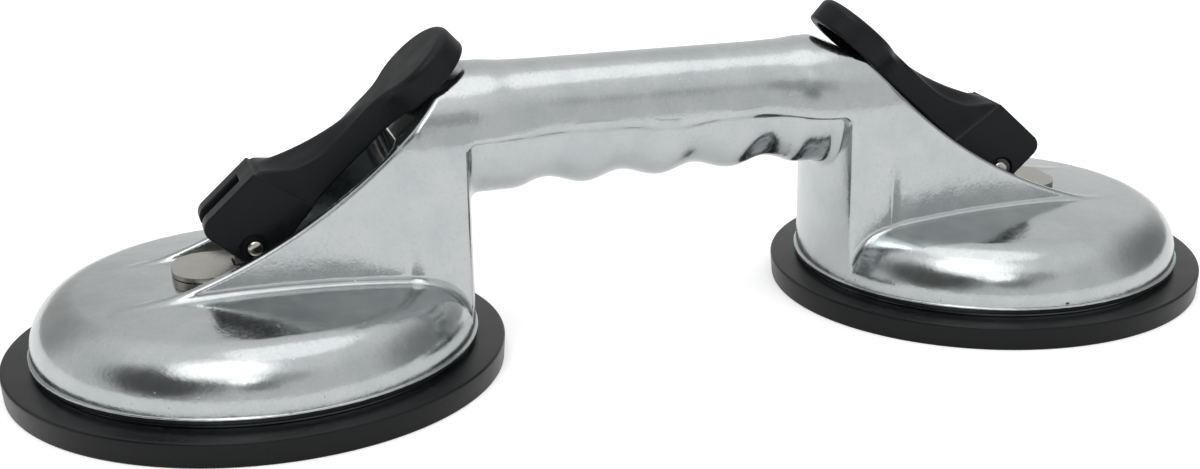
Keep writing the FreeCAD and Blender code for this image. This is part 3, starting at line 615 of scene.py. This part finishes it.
casting_piece = skinned("casting", casting, cast_low, cast_high, CAST_CELL, CAST_TRIANGLES)
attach(casting_piece, "casting")
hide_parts("cast_body")

# %% [markdown]
# ## Turned pieces
# Beads, pads and pins are round, as if made on a lathe. A Screw modifier could
# sweep their outlines, but a short function does it with closed poles and one
# seamless ring, and lets a radius wander on the way round.

# %% Turned pieces
ROUND_STEPS = 480
SHARP_FROM = math.radians(38)


def turned(name, outline, centre_x, wander=None, pin_wise=False):
    """Sweep a closed outline of (radius, height) points, in millimetres, round an axis.

    The axis stands upright at centre_x, or lies along the lever's pin there.
    With wander, a point's third number is its share of the uneven radius.
    """
    outline = np.array(outline)
    angle = np.linspace(0, 2 * math.pi, ROUND_STEPS, endpoint=False)
    radius = np.tile(outline[:, 0], (ROUND_STEPS, 1))
    height = np.tile(outline[:, 1], (ROUND_STEPS, 1))
    if wander is not None:
        radius = radius + wander(angle)[:, None] * outline[:, 2]
    one, two = radius * np.cos(angle)[:, None], radius * np.sin(angle)[:, None]
    places = (centre_x + one, two, height)
    if pin_wise:
        places = (centre_x + one, height, PIN_Z + two)
    count = len(outline)
    here = np.arange(ROUND_STEPS)[:, None] * count + np.arange(count)[None]
    after = np.roll(here, -1, 0)
    quads = np.stack([here, after, np.roll(after, -1, 1), np.roll(here, -1, 1)], 2)
    on_axis = (outline[:, 0] == 0) & (np.roll(outline[:, 0], -1) == 0)
    built = bmesh.new()
    corners = [built.verts.new(point) for point in np.stack(places, 2).reshape(-1, 3) * MM]
    for quad in quads[:, ~on_axis].reshape(-1, 4):
        built.faces.new([corners[number] for number in quad])
    bmesh.ops.remove_doubles(built, verts=built.verts, dist=1e-8)
    bmesh.ops.recalc_face_normals(built, faces=built.faces)
    mesh = bpy.data.meshes.new(name)
    built.to_mesh(mesh)
    built.free()
    mesh.shade_smooth()
    mesh.set_sharp_from_angle(angle=SHARP_FROM)
    return link(name, mesh)


def rounded(corner, before, after, radius, steps=4):
    """Points of a small round at an outline's corner, between its neighbours."""
    corner, before, after = (np.array(point, float) for point in (corner, before, after))
    start = corner + radius * (before - corner) / np.linalg.norm(before - corner)
    end = corner + radius * (after - corner) / np.linalg.norm(after - corner)
    shares = np.linspace(0, 1, steps + 1)
    return [tuple((1 - t) ** 2 * start + 2 * t * (1 - t) * corner + t * t * end)
            for t in shares]


print("turned pieces have %d steps round" % ROUND_STEPS)

# %% [markdown]
# ## Rim beads
# The rim ends in a thin bead of flash and a foot that sits on the rubber. They
# are finer than the casting's grid, so each is turned on its own, with the
# flash a little uneven, as a trimmed parting line is.

# %% Rim beads
def flash_wander(angle):
    """Waves along the trimmed flash, at most 0.1 mm."""
    waves = 0.5 * np.sin(7 * angle + 0.6) + 0.3 * np.sin(19 * angle) + 0.2 * np.sin(43 * angle)
    return 0.07 * waves + 0.03 * np.sin(97 * angle + 3 * np.sin(7 * angle))


INNER_RADIUS = RIM_RADIUS - WALL + 0.1
BEAD_OUTLINE = [
    (INNER_RADIUS, PAD_TOP, 0),
    (FOOT_RADIUS - 0.2, PAD_TOP, 0), (FOOT_RADIUS, PAD_TOP + 0.2, 0),
    (FOOT_RADIUS, BEAD_LOW, 0), (BEAD_RADIUS - 0.60, BEAD_LOW, 1),
    (BEAD_RADIUS - 0.42, BEAD_LOW + 0.12, 1), (BEAD_RADIUS - 0.02, BEAD_HIGH - 0.50, 1),
    (BEAD_RADIUS, BEAD_HIGH - 0.30, 1), (BEAD_RADIUS - 0.10, BEAD_HIGH - 0.12, 1),
    (BEAD_RADIUS - 0.30, BEAD_HIGH - 0.02, 0.5), (RIM_RADIUS, BEAD_HIGH + 0.08, 0),
    (RIM_RADIUS - 0.4, BEAD_HIGH + 0.1, 0), (INNER_RADIUS, BEAD_HIGH - 0.3, 0)]

casting_pieces = [casting_piece]
for where, side in SIDES.items():
    piece = turned("rim_bead_" + where, BEAD_OUTLINE, side * HEAD_X, flash_wander)
    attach(piece, "casting")
    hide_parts("cast_body")
    casting_pieces.append(piece)
print("rim beads:", len(casting_pieces) - 1)

# %% [markdown]
# ## Pads and pins
# Each pad is a turned rubber disc: a straight side that narrows a little
# towards the floor, small rounds at its edges, a sealing lip and a shallow cup
# underneath, and a thin middle inside the head. The pins are turned as well.
# They are driven in from opposite sides, so the left one shows its domed head
# in front and the right one its plain end.

# %% Pads and pins
CUP = 1.2
LIP_INNER = PAD_RADIUS - 9.0
MEMBRANE_TOP = 4.4
MEMBRANE_RADIUS = 47.0
LOW_ROUND = 0.5
HIGH_ROUND = 0.75

side_low, side_high = (PAD_RADIUS - 0.5, 0.0), (PAD_RADIUS - 0.03, PAD_TOP)
PAD_OUTLINE = [(0, CUP), (LIP_INNER - 2 * CUP, CUP), (LIP_INNER, 0)]
PAD_OUTLINE += rounded(side_low, (LIP_INNER, 0), side_high, LOW_ROUND)
PAD_OUTLINE += rounded(side_high, side_low, (MEMBRANE_RADIUS, PAD_TOP), HIGH_ROUND)
PAD_OUTLINE += [(MEMBRANE_RADIUS + 1.6, PAD_TOP), (MEMBRANE_RADIUS, MEMBRANE_TOP),
                (0, MEMBRANE_TOP)]
PIN_HALF = 8.0
DOME = 0.5
PIN_OUTLINE = [(0, -PIN_HALF - DOME), (0.5, -PIN_HALF - DOME + 0.02),
               (1.0, -PIN_HALF - DOME + 0.1), (1.45, -PIN_HALF - DOME + 0.27),
               (PIN_RADIUS - 0.15, -PIN_HALF), (PIN_RADIUS, -PIN_HALF + 0.35),
               (PIN_RADIUS, PIN_HALF - 0.2), (PIN_RADIUS - 0.2, PIN_HALF), (0, PIN_HALF)]

pad_pieces, pin_pieces = [], []
for where, side in SIDES.items():
    pad = turned("suction_pad_" + where, PAD_OUTLINE, side * HEAD_X)
    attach(pad, "casting")
    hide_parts("rubber_pad_" + where)
    pad_pieces.append(pad)
    outline = [(radius, -side * along) for radius, along in PIN_OUTLINE]
    pin = turned("domed_pin_" + where, outline, side * HEAD_X, pin_wise=True)
    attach(pin, "lever_" + where)
    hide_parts("lever_pin_" + where)
    pin_pieces.append(pin)
print("pads %d, pins %d" % (len(pad_pieces), len(pin_pieces)))

# %% [markdown]
# ## Cam levers
# The lever is a nylon moulding. Seen from the side it is a square cam block
# with two rounded corners, a waisted arm and a thumb pad. Seen from above the
# arm narrows to a waist and flares into the round pad. Its top is crowned like
# a rounded bar between two creases. The field is written flat, with the pin at
# the origin, l along the lever and t up from it, and then swung into place.

# %% Cam block and arm outline
CAM_END = 5.0
CAM_RISE = 13.0
BLOCK_HALF = (pin_high[1] - pin_low[1] - 0.5) / 2
END_LEAN = math.radians(6.4)
END_TRIM = 0.75
BACK_LEAN = math.radians(13.7)
BACK_REACH = 13.1
UNDER_LEAN = 0.12
CAM_TOP_ROUND = 3.7
CAM_UNDER_ROUND = 4.2
CAM_BACK_ROUND = 0.35
CAM_SIDE_ROUND = 0.6
WAIST_HALF = 5.4
THUMB_MIDDLE = 57.0
THUMB_RADIUS = 12.0
FLARE = 12.0
FLARE_REACH = math.sqrt((THUMB_RADIUS + FLARE) ** 2 - (WAIST_HALF + FLARE) ** 2)


def cam_block(l, across, t):
    """Square block with a leaning end face and a back that slants to the arm."""
    end_face = -l * math.cos(END_LEAN) - t * math.sin(END_LEAN) - CAM_END + END_TRIM
    under_face = l * math.sin(UNDER_LEAN) - (t + CAM_END) * math.cos(UNDER_LEAN)
    back_face = ((l - BACK_REACH) * math.cos(BACK_LEAN)
                 + (t - CAM_RISE) * math.sin(BACK_LEAN))
    cam = shared(end_face, t - CAM_RISE, CAM_TOP_ROUND)
    cam = shared(cam, under_face, CAM_UNDER_ROUND)
    cam = shared(cam, back_face, CAM_BACK_ROUND)
    return shared(cam, across - BLOCK_HALF, CAM_SIDE_ROUND), back_face


def arm_plan(l, across, half):
    """Straight waist, hollow flare and round thumb pad, seen from above."""
    flare_l = THUMB_MIDDLE - FLARE_REACH
    flare_y = WAIST_HALF + FLARE
    flare = FLARE - np.hypot(l - flare_l, across - flare_y)
    disc = np.hypot(l - THUMB_MIDDLE, across) - THUMB_RADIUS
    on_disc = (l - THUMB_MIDDLE) * flare_y + across * FLARE_REACH > 0
    return np.where(on_disc, disc, np.where(l > flare_l, flare, across - half))


print("cam block %.1f mm wide, arm %.1f mm at its waist" % (2 * BLOCK_HALF, 2 * WAIST_HALF))

# %% [markdown]
# The arm's top falls in a hollow curve from the block to the thumb pad. Its
# crown is a half wave across the arm, strongest near the block. A clevis slot
# through the block takes the stem, and the pin's ends sit in round recesses.

# %% The whole lever
ARM_START = 9.5
ARM_UNDER = 3.0
ARM_UNDER_RAMP = (44.0, 47.0)
ARM_UNDER_ROUND = 0.6
SHOULDER_STEP = 0.55
SHOULDER_RUN = 3.0
SPINE_FLAT = 47.2
SPINE_CURVE = 0.0079
TOP_SCALE = 0.93
CROWN_DROP = 3.2
CROWN_GROWS = (12.5, 21.0)
CROWN_FADES = (23.0, 45.0)
ARM_ROUNDS = (0.8, 1.9)
ARM_ROUND_RAMP = (38.0, 48.0)
THUMB_TOP = 3.9
THUMB_UNDER = 3.2
THUMB_HOLLOW_RADIUS = 9.5
THUMB_HOLLOW_DEPTH = 2.6
HOLLOW_ROUND = 0.5
CLEVIS_HALF = 2.8
CLEVIS_END = 9.0
CLEVIS_ROUND = 0.35
BORE_CLEARANCE = 0.05
RECESS_RADIUS = 3.4
RECESS_DEPTH = 0.7


def arm_top(l, across, half, t):
    """The arm's crowned upper face."""
    spine = THUMB_TOP + SPINE_CURVE * np.maximum(SPINE_FLAT - l, 0.0) ** 2
    drop = CROWN_DROP * eased(l, *CROWN_GROWS) * (1 - eased(l, *CROWN_FADES))
    share = np.minimum(across / half, 1.0)
    crown = drop * (1 - np.cos(math.pi * share)) / 2
    return (t - np.minimum(spine, CAM_RISE - 0.6) + crown) * TOP_SCALE


def lever(l, y, t):
    across = np.abs(y)
    block, beyond = cam_block(l, across, t)
    half = WAIST_HALF + (BLOCK_HALF - SHOULDER_STEP - WAIST_HALF) * np.exp(
        -np.maximum(beyond, 0.0) / SHOULDER_RUN)
    under = -t - mixed(ARM_UNDER, THUMB_UNDER, eased(l, *ARM_UNDER_RAMP))
    arm_round = mixed(*ARM_ROUNDS, eased(l, *ARM_ROUND_RAMP))
    arm = shared(arm_top(l, across, half, t), arm_plan(l, across, half), arm_round)
    arm = np.maximum(shared(arm, under, ARM_UNDER_ROUND), ARM_START - l)
    body = np.minimum(block, arm)
    clevis = np.maximum(across - CLEVIS_HALF, l - CLEVIS_END)
    body = shared(body, -clevis, CLEVIS_ROUND)
    bore = np.hypot(l, t) - (PIN_RADIUS + BORE_CLEARANCE)
    recess = np.maximum(np.hypot(l, t) - RECESS_RADIUS, BLOCK_HALF - RECESS_DEPTH - across)
    body = np.maximum(body, -np.minimum(bore, recess))
    hollow = np.maximum(np.hypot(l - THUMB_MIDDLE, y) - THUMB_HOLLOW_RADIUS,
                        t + THUMB_UNDER - THUMB_HOLLOW_DEPTH)
    return shared(body, -hollow, HOLLOW_ROUND)


print("the clevis leaves %.1f mm on either side of the middle" % lever(0.0, 0.0, 0.0))

# %% [markdown]
# Both levers are the same moulding. On the released tool each leans inward and
# up against its thumb seat, so the drawing is tilted once, and turned half
# round for the right head.

# %% Hanging the levers
LEVER_ANGLE = math.radians(42.3)
LEVER_CELL = 0.34
LEVER_TRIANGLES = 90000
LEVER_LOW = np.array([-CAM_END, -THUMB_RADIUS, -CAM_END])
LEVER_HIGH = np.array([THUMB_MIDDLE + THUMB_RADIUS, THUMB_RADIUS, CAM_RISE])


def hung(side):
    """Where a lever's flat drawing goes on the released tool."""
    pin = Matrix.Translation((side * HEAD_X, 0.0, PIN_Z))
    facing = Matrix.Rotation(math.pi if side > 0 else 0.0, 4, "Z")
    return pin @ facing @ Matrix.Rotation(-LEVER_ANGLE, 4, "Y")


lever_pieces = []
for where, side in SIDES.items():
    piece = skinned("lever_moulding_" + where, lever, LEVER_LOW, LEVER_HIGH, LEVER_CELL,
                    LEVER_TRIANGLES, hung(side))
    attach(piece, "lever_" + where)
    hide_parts("lever_" + where)
    lever_pieces.append(piece)

# %% [markdown]
# ## Studio
# World, floor and finishes are all built from shader nodes. Adding a node and
# setting it up takes many lines, so one helper does it.

# %% Node helper
def new_node(tree, kind, **settings):
    """Add a node; a setting is a property's name, or an input's with a leading i_."""
    made = tree.nodes.new(kind)
    for name, value in settings.items():
        if name.startswith("i_"):
            key = name[2:].replace("_", " ")
            socket = made.inputs[int(key) if key.isdigit() else key]
            if isinstance(value, bpy.types.NodeSocket):
                tree.links.new(value, socket)
            else:
                socket.default_value = value
        else:
            setattr(made, name, value)
    return made


# %% [markdown]
# A polished casting shows its surroundings more than its own colour. The world
# is a pale room with soft round patches. Three wide dark ones stand low on the
# left, behind and on the right, and two small ones in front. Two bright panels
# hang high in front, on the left. To the camera the world is plain white, as
# a studio backdrop would be.

# %% World
LEVEL_HEIGHTS = (0.55, 0.97)
LEVELS = (0.76, 0.95)
# azimuth and height of each patch in degrees, where its fade starts and ends,
# and its level
PATCHES = [(-150, 30, 17, 38, 0.11), (118, 14, 8, 32, 0.42), (5, 10, 9, 44, 0.28),
           (-80, 39, 2, 13, 0.45), (-98, 28, 4, 15, 0.26), (-108, 42, 4, 12, 2.4),
           (-128, 62, 12, 26, 2.0)]
DIFFUSE_LEVEL = 1.1


def ray_is(tree, *kinds):
    """One where the ray is of any of the kinds."""
    path = new_node(tree, "ShaderNodeLightPath")
    value = path.outputs[kinds[0]]
    for kind in kinds[1:]:
        value = new_node(tree, "ShaderNodeMath", operation="MAXIMUM", i_0=value,
                         i_1=path.outputs[kind]).outputs[0]
    return value


def build_world():
    world = bpy.data.worlds.new("studio")
    world.use_nodes = True
    bpy.context.scene.world = world
    tree = world.node_tree
    tree.nodes.clear()
    view_ray = new_node(tree, "ShaderNodeTexCoord").outputs["Generated"]
    split = new_node(tree, "ShaderNodeSeparateXYZ", i_Vector=view_ray)
    level = new_node(tree, "ShaderNodeMapRange", interpolation_type="SMOOTHSTEP",
                     i_Value=split.outputs["Z"], i_From_Min=LEVEL_HEIGHTS[0],
                     i_From_Max=LEVEL_HEIGHTS[1], i_To_Min=LEVELS[0],
                     i_To_Max=LEVELS[1]).outputs["Result"]
    for azimuth, rise, start, end, value in PATCHES:
        azimuth, rise = math.radians(azimuth), math.radians(rise)
        near = new_node(tree, "ShaderNodeVectorMath", operation="DOT_PRODUCT")
        tree.links.new(view_ray, near.inputs[0])
        near.inputs[1].default_value = (math.cos(rise) * math.cos(azimuth),
                                        math.cos(rise) * math.sin(azimuth), math.sin(rise))
        share = new_node(tree, "ShaderNodeMapRange", interpolation_type="SMOOTHSTEP",
                         i_Value=near.outputs["Value"], i_From_Min=math.cos(math.radians(end)),
                         i_From_Max=math.cos(math.radians(start)))
        mix = new_node(tree, "ShaderNodeMix", data_type="FLOAT")
        tree.links.new(share.outputs["Result"], mix.inputs["Factor"])
        tree.links.new(level, mix.inputs[2])
        mix.inputs[3].default_value = value
        level = mix.outputs[0]
    mirrored = ray_is(tree, "Is Glossy Ray", "Is Transmission Ray")
    scale = new_node(tree, "ShaderNodeMapRange", i_Value=mirrored, i_To_Min=DIFFUSE_LEVEL)
    strength = new_node(tree, "ShaderNodeMath", operation="MULTIPLY", i_0=level,
                        i_1=scale.outputs["Result"])
    studio = new_node(tree, "ShaderNodeBackground", i_Color=(1.0, 1.0, 1.0, 1),
                      i_Strength=strength.outputs[0])
    white = new_node(tree, "ShaderNodeBackground", i_Color=(1, 1, 1, 1), i_Strength=1.0)
    choose = new_node(tree, "ShaderNodeMixShader", i_0=ray_is(tree, "Is Camera Ray"),
                      i_1=studio.outputs[0], i_2=white.outputs[0])
    new_node(tree, "ShaderNodeOutputWorld", i_Surface=choose.outputs[0])


build_world()
print("world: %d patches in a room at levels %.2f to %.2f" % (len(PATCHES), *LEVELS))

# %% [markdown]
# The floor is pale and matt, and keeps the tool's shadow. A little glow lifts
# it to the backdrop's white for the camera, and less of it for mirrored rays.
# Two weak soft lamps, one above and one on the left, add gentle highlights.

# %% Floor and lamps
FLOOR_HALF = 3.0
FLOOR_COLOUR = (0.82, 0.82, 0.82, 1)
FLOOR_GLOW_SEEN = 0.45
FLOOR_GLOW_MIRRORED = 0.2
LAMP_AIM = (0, 0, 0.03)


def build_floor():
    mesh = bpy.data.meshes.new("floor")
    corners = [(x * FLOOR_HALF, y * FLOOR_HALF, 0)
               for x, y in ((-1, -1), (1, -1), (1, 1), (-1, 1))]
    mesh.from_pydata(corners, [], [(0, 1, 2, 3)])
    floor = link("floor", mesh)
    material = bpy.data.materials.new("pale_floor")
    material.use_nodes = True
    tree = material.node_tree
    tree.nodes.clear()
    matt = new_node(tree, "ShaderNodeBsdfDiffuse", i_Color=FLOOR_COLOUR)
    seen = ray_is(tree, "Is Camera Ray")
    mirrored = ray_is(tree, "Is Glossy Ray", "Is Transmission Ray")
    lift = new_node(tree, "ShaderNodeMath", operation="MULTIPLY", i_0=seen,
                    i_1=FLOOR_GLOW_SEEN)
    more = new_node(tree, "ShaderNodeMath", operation="MULTIPLY_ADD", i_0=mirrored,
                    i_1=FLOOR_GLOW_MIRRORED, i_2=lift.outputs[0])
    glow = new_node(tree, "ShaderNodeEmission", i_Color=(1, 1, 1, 1),
                    i_Strength=more.outputs[0])
    both = new_node(tree, "ShaderNodeAddShader", i_0=matt.outputs[0], i_1=glow.outputs[0])
    new_node(tree, "ShaderNodeOutputMaterial", i_Surface=both.outputs[0])
    mesh.materials.append(material)


def add_lamp(name, place, size, power):
    lamp = bpy.data.lights.new(name, "AREA")
    lamp.shape = "DISK"
    lamp.size = size
    lamp.energy = power
    holder = bpy.data.objects.new(name, lamp)
    bpy.context.scene.collection.objects.link(holder)
    holder.location = place
    holder.rotation_mode = "QUATERNION"
    holder.rotation_quaternion = (Vector(LAMP_AIM) - Vector(place)).to_track_quat("-Z", "Y")


build_floor()
add_lamp("overhead_softbox", (0.1, 0.1, 1.2), 0.8, 1.0)
add_lamp("left_softbox", (-0.34, -0.44, 1.05), 0.36, 0.9)
print("lamps:", ", ".join(lamp.name for lamp in bpy.data.lights))

# %% [markdown]
# ## Finishes
# Every finish is built from noise in object coordinates, so it stays put on
# the piece from any side and needs no unwrapped map. These helpers add the
# nodes that all finishes share.

# %% Finish helpers
def new_finish(name):
    material = bpy.data.materials.new(name)
    material.use_nodes = True
    tree = material.node_tree
    shader = tree.nodes["Principled BSDF"]
    place = new_node(tree, "ShaderNodeTexCoord").outputs["Object"]
    return material, tree, shader, place


def noise(tree, place, scale, detail=3.0, rough=0.5):
    made = new_node(tree, "ShaderNodeTexNoise", i_Vector=place, i_Scale=scale,
                    i_Detail=detail, i_Roughness=rough)
    return made.outputs["Fac"]


def ramp(tree, value, low, high, to_low=0.0, to_high=1.0):
    made = new_node(tree, "ShaderNodeMapRange", i_Value=value, i_From_Min=low,
                    i_From_Max=high, i_To_Min=to_low, i_To_Max=to_high)
    return made.outputs["Result"]


def colour_mix(tree, share, first, second):
    made = new_node(tree, "ShaderNodeMix", data_type="RGBA")
    tree.links.new(share, made.inputs["Factor"])
    for number, colour in ((6, first), (7, second)):
        if isinstance(colour, bpy.types.NodeSocket):
            tree.links.new(colour, made.inputs[number])
        else:
            made.inputs[number].default_value = (*colour, 1.0)
    return made.outputs[2]


def bump(tree, height, depth, normal=None):
    made = new_node(tree, "ShaderNodeBump", i_Height=height, i_Distance=depth,
                    i_Strength=1.0)
    if normal is not None:
        tree.links.new(normal, made.inputs["Normal"])
    return made.outputs["Normal"]


def told(material):
    """The material again, after a line about it."""
    print("%-20s %2d nodes" % (material.name, len(material.node_tree.nodes)))
    return material


# %% [markdown]
# The casting has been tumbled until it shines, but cast skin never gets
# smooth. Broad and fine bumps bend its reflections a little, speckle dulls
# them, and a few pits stay where gas was trapped. The colour is a mid grey,
# since most of its brightness comes from the pale room that it mirrors.

# %% Tumbled aluminium
def tumbled_aluminium():
    material, tree, shader, place = new_finish("tumbled_aluminium")
    broad = noise(tree, place, 42.0, 2.0)
    cloud = noise(tree, place, 95.0, 4.0, 0.6)
    speckle = noise(tree, place, 1500.0, 3.0, 0.6)
    colour = colour_mix(tree, ramp(tree, cloud, 0.38, 0.62), (0.475, 0.508, 0.514),
                        (0.535, 0.555, 0.555))
    dusted = colour_mix(tree, ramp(tree, speckle, 0.52, 0.72, 0.0, 0.22), colour,
                        (0.36, 0.37, 0.37))
    tree.links.new(dusted, shader.inputs["Base Color"])
    shader.inputs["Metallic"].default_value = 1.0
    rough = ramp(tree, cloud, 0.35, 0.65, 0.11, 0.16)
    spread = ramp(tree, speckle, 0.3, 0.7, 0.0, 0.08)
    total = new_node(tree, "ShaderNodeMath", operation="ADD", i_0=rough, i_1=spread)
    tree.links.new(total.outputs[0], shader.inputs["Roughness"])
    normal = bump(tree, broad, 0.00035)
    normal = bump(tree, noise(tree, place, 420.0, 3.0, 0.6), 0.000040, normal)
    normal = bump(tree, speckle, 0.000008, normal)
    pits = new_node(tree, "ShaderNodeTexVoronoi", i_Vector=place, i_Scale=380.0)
    depth = ramp(tree, pits.outputs["Distance"], 0.0, 0.09)
    whole = ramp(tree, noise(tree, place, 120.0, 2.0), 0.58, 0.48)
    kept = new_node(tree, "ShaderNodeMath", operation="MAXIMUM", i_0=depth, i_1=whole)
    tree.links.new(bump(tree, kept.outputs[0], 0.00006, normal), shader.inputs["Normal"])
    return told(material)


ALUMINIUM = tumbled_aluminium()

# %% [markdown]
# Nylon takes the fine grain of its mould. It is nearly black, and its weak,
# broad shine comes from a low specular level and a high, uneven roughness.

# %% Moulded nylon
def moulded_nylon():
    material, tree, shader, place = new_finish("moulded_nylon")
    cloud = noise(tree, place, 160.0, 3.0)
    colour = colour_mix(tree, ramp(tree, cloud, 0.35, 0.7), (0.0045, 0.0055, 0.0070),
                        (0.0085, 0.0095, 0.0110))
    tree.links.new(colour, shader.inputs["Base Color"])
    shader.inputs["Specular IOR Level"].default_value = 0.2
    tree.links.new(ramp(tree, cloud, 0.3, 0.7, 0.36, 0.50), shader.inputs["Roughness"])
    grain = noise(tree, place, 1700.0, 3.0)
    tree.links.new(bump(tree, grain, 0.00007), shader.inputs["Normal"])
    return told(material)


NYLON = moulded_nylon()

# %% [markdown]
# A rubber pad shows faint rings from its turned mould, and dust sticks to it
# in specks. The rings come from noise over the distance to the head's axis.

# %% Pad rubber
def ring_grooves(tree, place):
    """Noise in rings round each head's axis and in bands up the pad's side."""
    axes = new_node(tree, "ShaderNodeSeparateXYZ", i_Vector=place)
    off = new_node(tree, "ShaderNodeMath", operation="ABSOLUTE", i_0=axes.outputs["X"])
    off = new_node(tree, "ShaderNodeMath", operation="SUBTRACT", i_0=off.outputs[0],
                   i_1=HEAD_X * MM)
    flat = new_node(tree, "ShaderNodeCombineXYZ", i_X=off.outputs[0], i_Y=axes.outputs["Y"])
    reach = new_node(tree, "ShaderNodeVectorMath", operation="LENGTH")
    tree.links.new(flat.outputs[0], reach.inputs[0])
    along = new_node(tree, "ShaderNodeMath", operation="SUBTRACT",
                     i_0=reach.outputs["Value"], i_1=axes.outputs["Z"])
    grooves = new_node(tree, "ShaderNodeTexNoise", noise_dimensions="1D",
                       i_W=along.outputs[0], i_Scale=2600.0, i_Detail=2.0)
    return grooves.outputs["Fac"]


def pad_rubber():
    material, tree, shader, place = new_finish("pad_rubber")
    dust = noise(tree, place, 1300.0, 5.0, 0.75)
    cloud = noise(tree, place, 70.0, 3.0)
    mark = new_node(tree, "ShaderNodeMath", operation="MULTIPLY",
                    i_0=ramp(tree, dust, 0.62, 0.74),
                    i_1=ramp(tree, cloud, 0.4, 0.65, 0.1, 0.7))
    colour = colour_mix(tree, mark.outputs[0], (0.0050, 0.0056, 0.0064),
                        (0.055, 0.052, 0.048))
    tree.links.new(colour, shader.inputs["Base Color"])
    shader.inputs["Specular IOR Level"].default_value = 0.22
    tree.links.new(ramp(tree, cloud, 0.3, 0.8, 0.26, 0.36), shader.inputs["Roughness"])
    normal = bump(tree, ring_grooves(tree, place), 0.00002)
    tree.links.new(bump(tree, dust, 0.00001, normal), shader.inputs["Normal"])
    return told(material)


RUBBER = pad_rubber()

# %% [markdown]
# The small steel parts differ only in colour, polish and the direction of
# their scratches, so one function makes them all. Noise that is stretched
# along one axis gives the scratches.

# %% Nickel plate and steels
def bright_metal(name, first, second, rough_low, rough_high, stretch):
    material, tree, shader, place = new_finish(name)
    along = new_node(tree, "ShaderNodeMapping", i_Vector=place, i_Scale=stretch)
    scratches = noise(tree, along.outputs[0], 700.0, 4.0, 0.6)
    cloud = noise(tree, place, 220.0, 3.0)
    colour = colour_mix(tree, ramp(tree, cloud, 0.3, 0.7), first, second)
    tree.links.new(colour, shader.inputs["Base Color"])
    shader.inputs["Metallic"].default_value = 1.0
    tree.links.new(ramp(tree, cloud, 0.3, 0.7, rough_low, rough_high),
                   shader.inputs["Roughness"])
    tree.links.new(bump(tree, scratches, 0.00002), shader.inputs["Normal"])
    return told(material)


NICKEL = bright_metal("nickel_plate", (0.36, 0.35, 0.31), (0.44, 0.42, 0.375), 0.22, 0.34,
                      (0.1, 1.0, 1.0))
PIN_STEEL = bright_metal("worn_pin", (0.50, 0.48, 0.44), (0.66, 0.64, 0.60), 0.18, 0.32,
                         (1.0, 0.2, 1.0))
DARK_STEEL = bright_metal("oiled_spring_steel", (0.05, 0.05, 0.05), (0.10, 0.095, 0.09),
                          0.25, 0.40, (1.0, 1.0, 1.0))
STEEL = bright_metal("bright_steel", (0.48, 0.47, 0.45), (0.58, 0.57, 0.55), 0.18, 0.30,
                     (1.0, 0.1, 1.0))

# %% [markdown]
# Each piece takes its finish. The wear plates, clips, stems and backing plates
# are shown as the frame made them, since they are small plain steel parts that
# need no better shape, but they get a finish too.

# %% Every piece in its finish
def wear(piece, material):
    piece.data.materials.clear()
    piece.data.materials.append(material)


worn = [(casting_pieces, ALUMINIUM), (lever_pieces, NYLON), (pad_pieces, RUBBER),
        (pin_pieces, PIN_STEEL)]
for name, material in (("wear_plate_", NICKEL), ("pin_clip_", DARK_STEEL),
                       ("draw_stem_", STEEL), ("backing_plate_", STEEL)):
    worn.append(([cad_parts[name + where] for where in SIDES], material))
for pieces, material in worn:
    for piece in pieces:
        wear(piece, material)
print("pieces with a finish:", sum(len(pieces) for pieces, material in worn))

# %% [markdown]
# ## Plain view
# The colours are shown as they are, with no film look.

# %% Plain view
bpy.context.scene.view_settings.view_transform = "Standard"
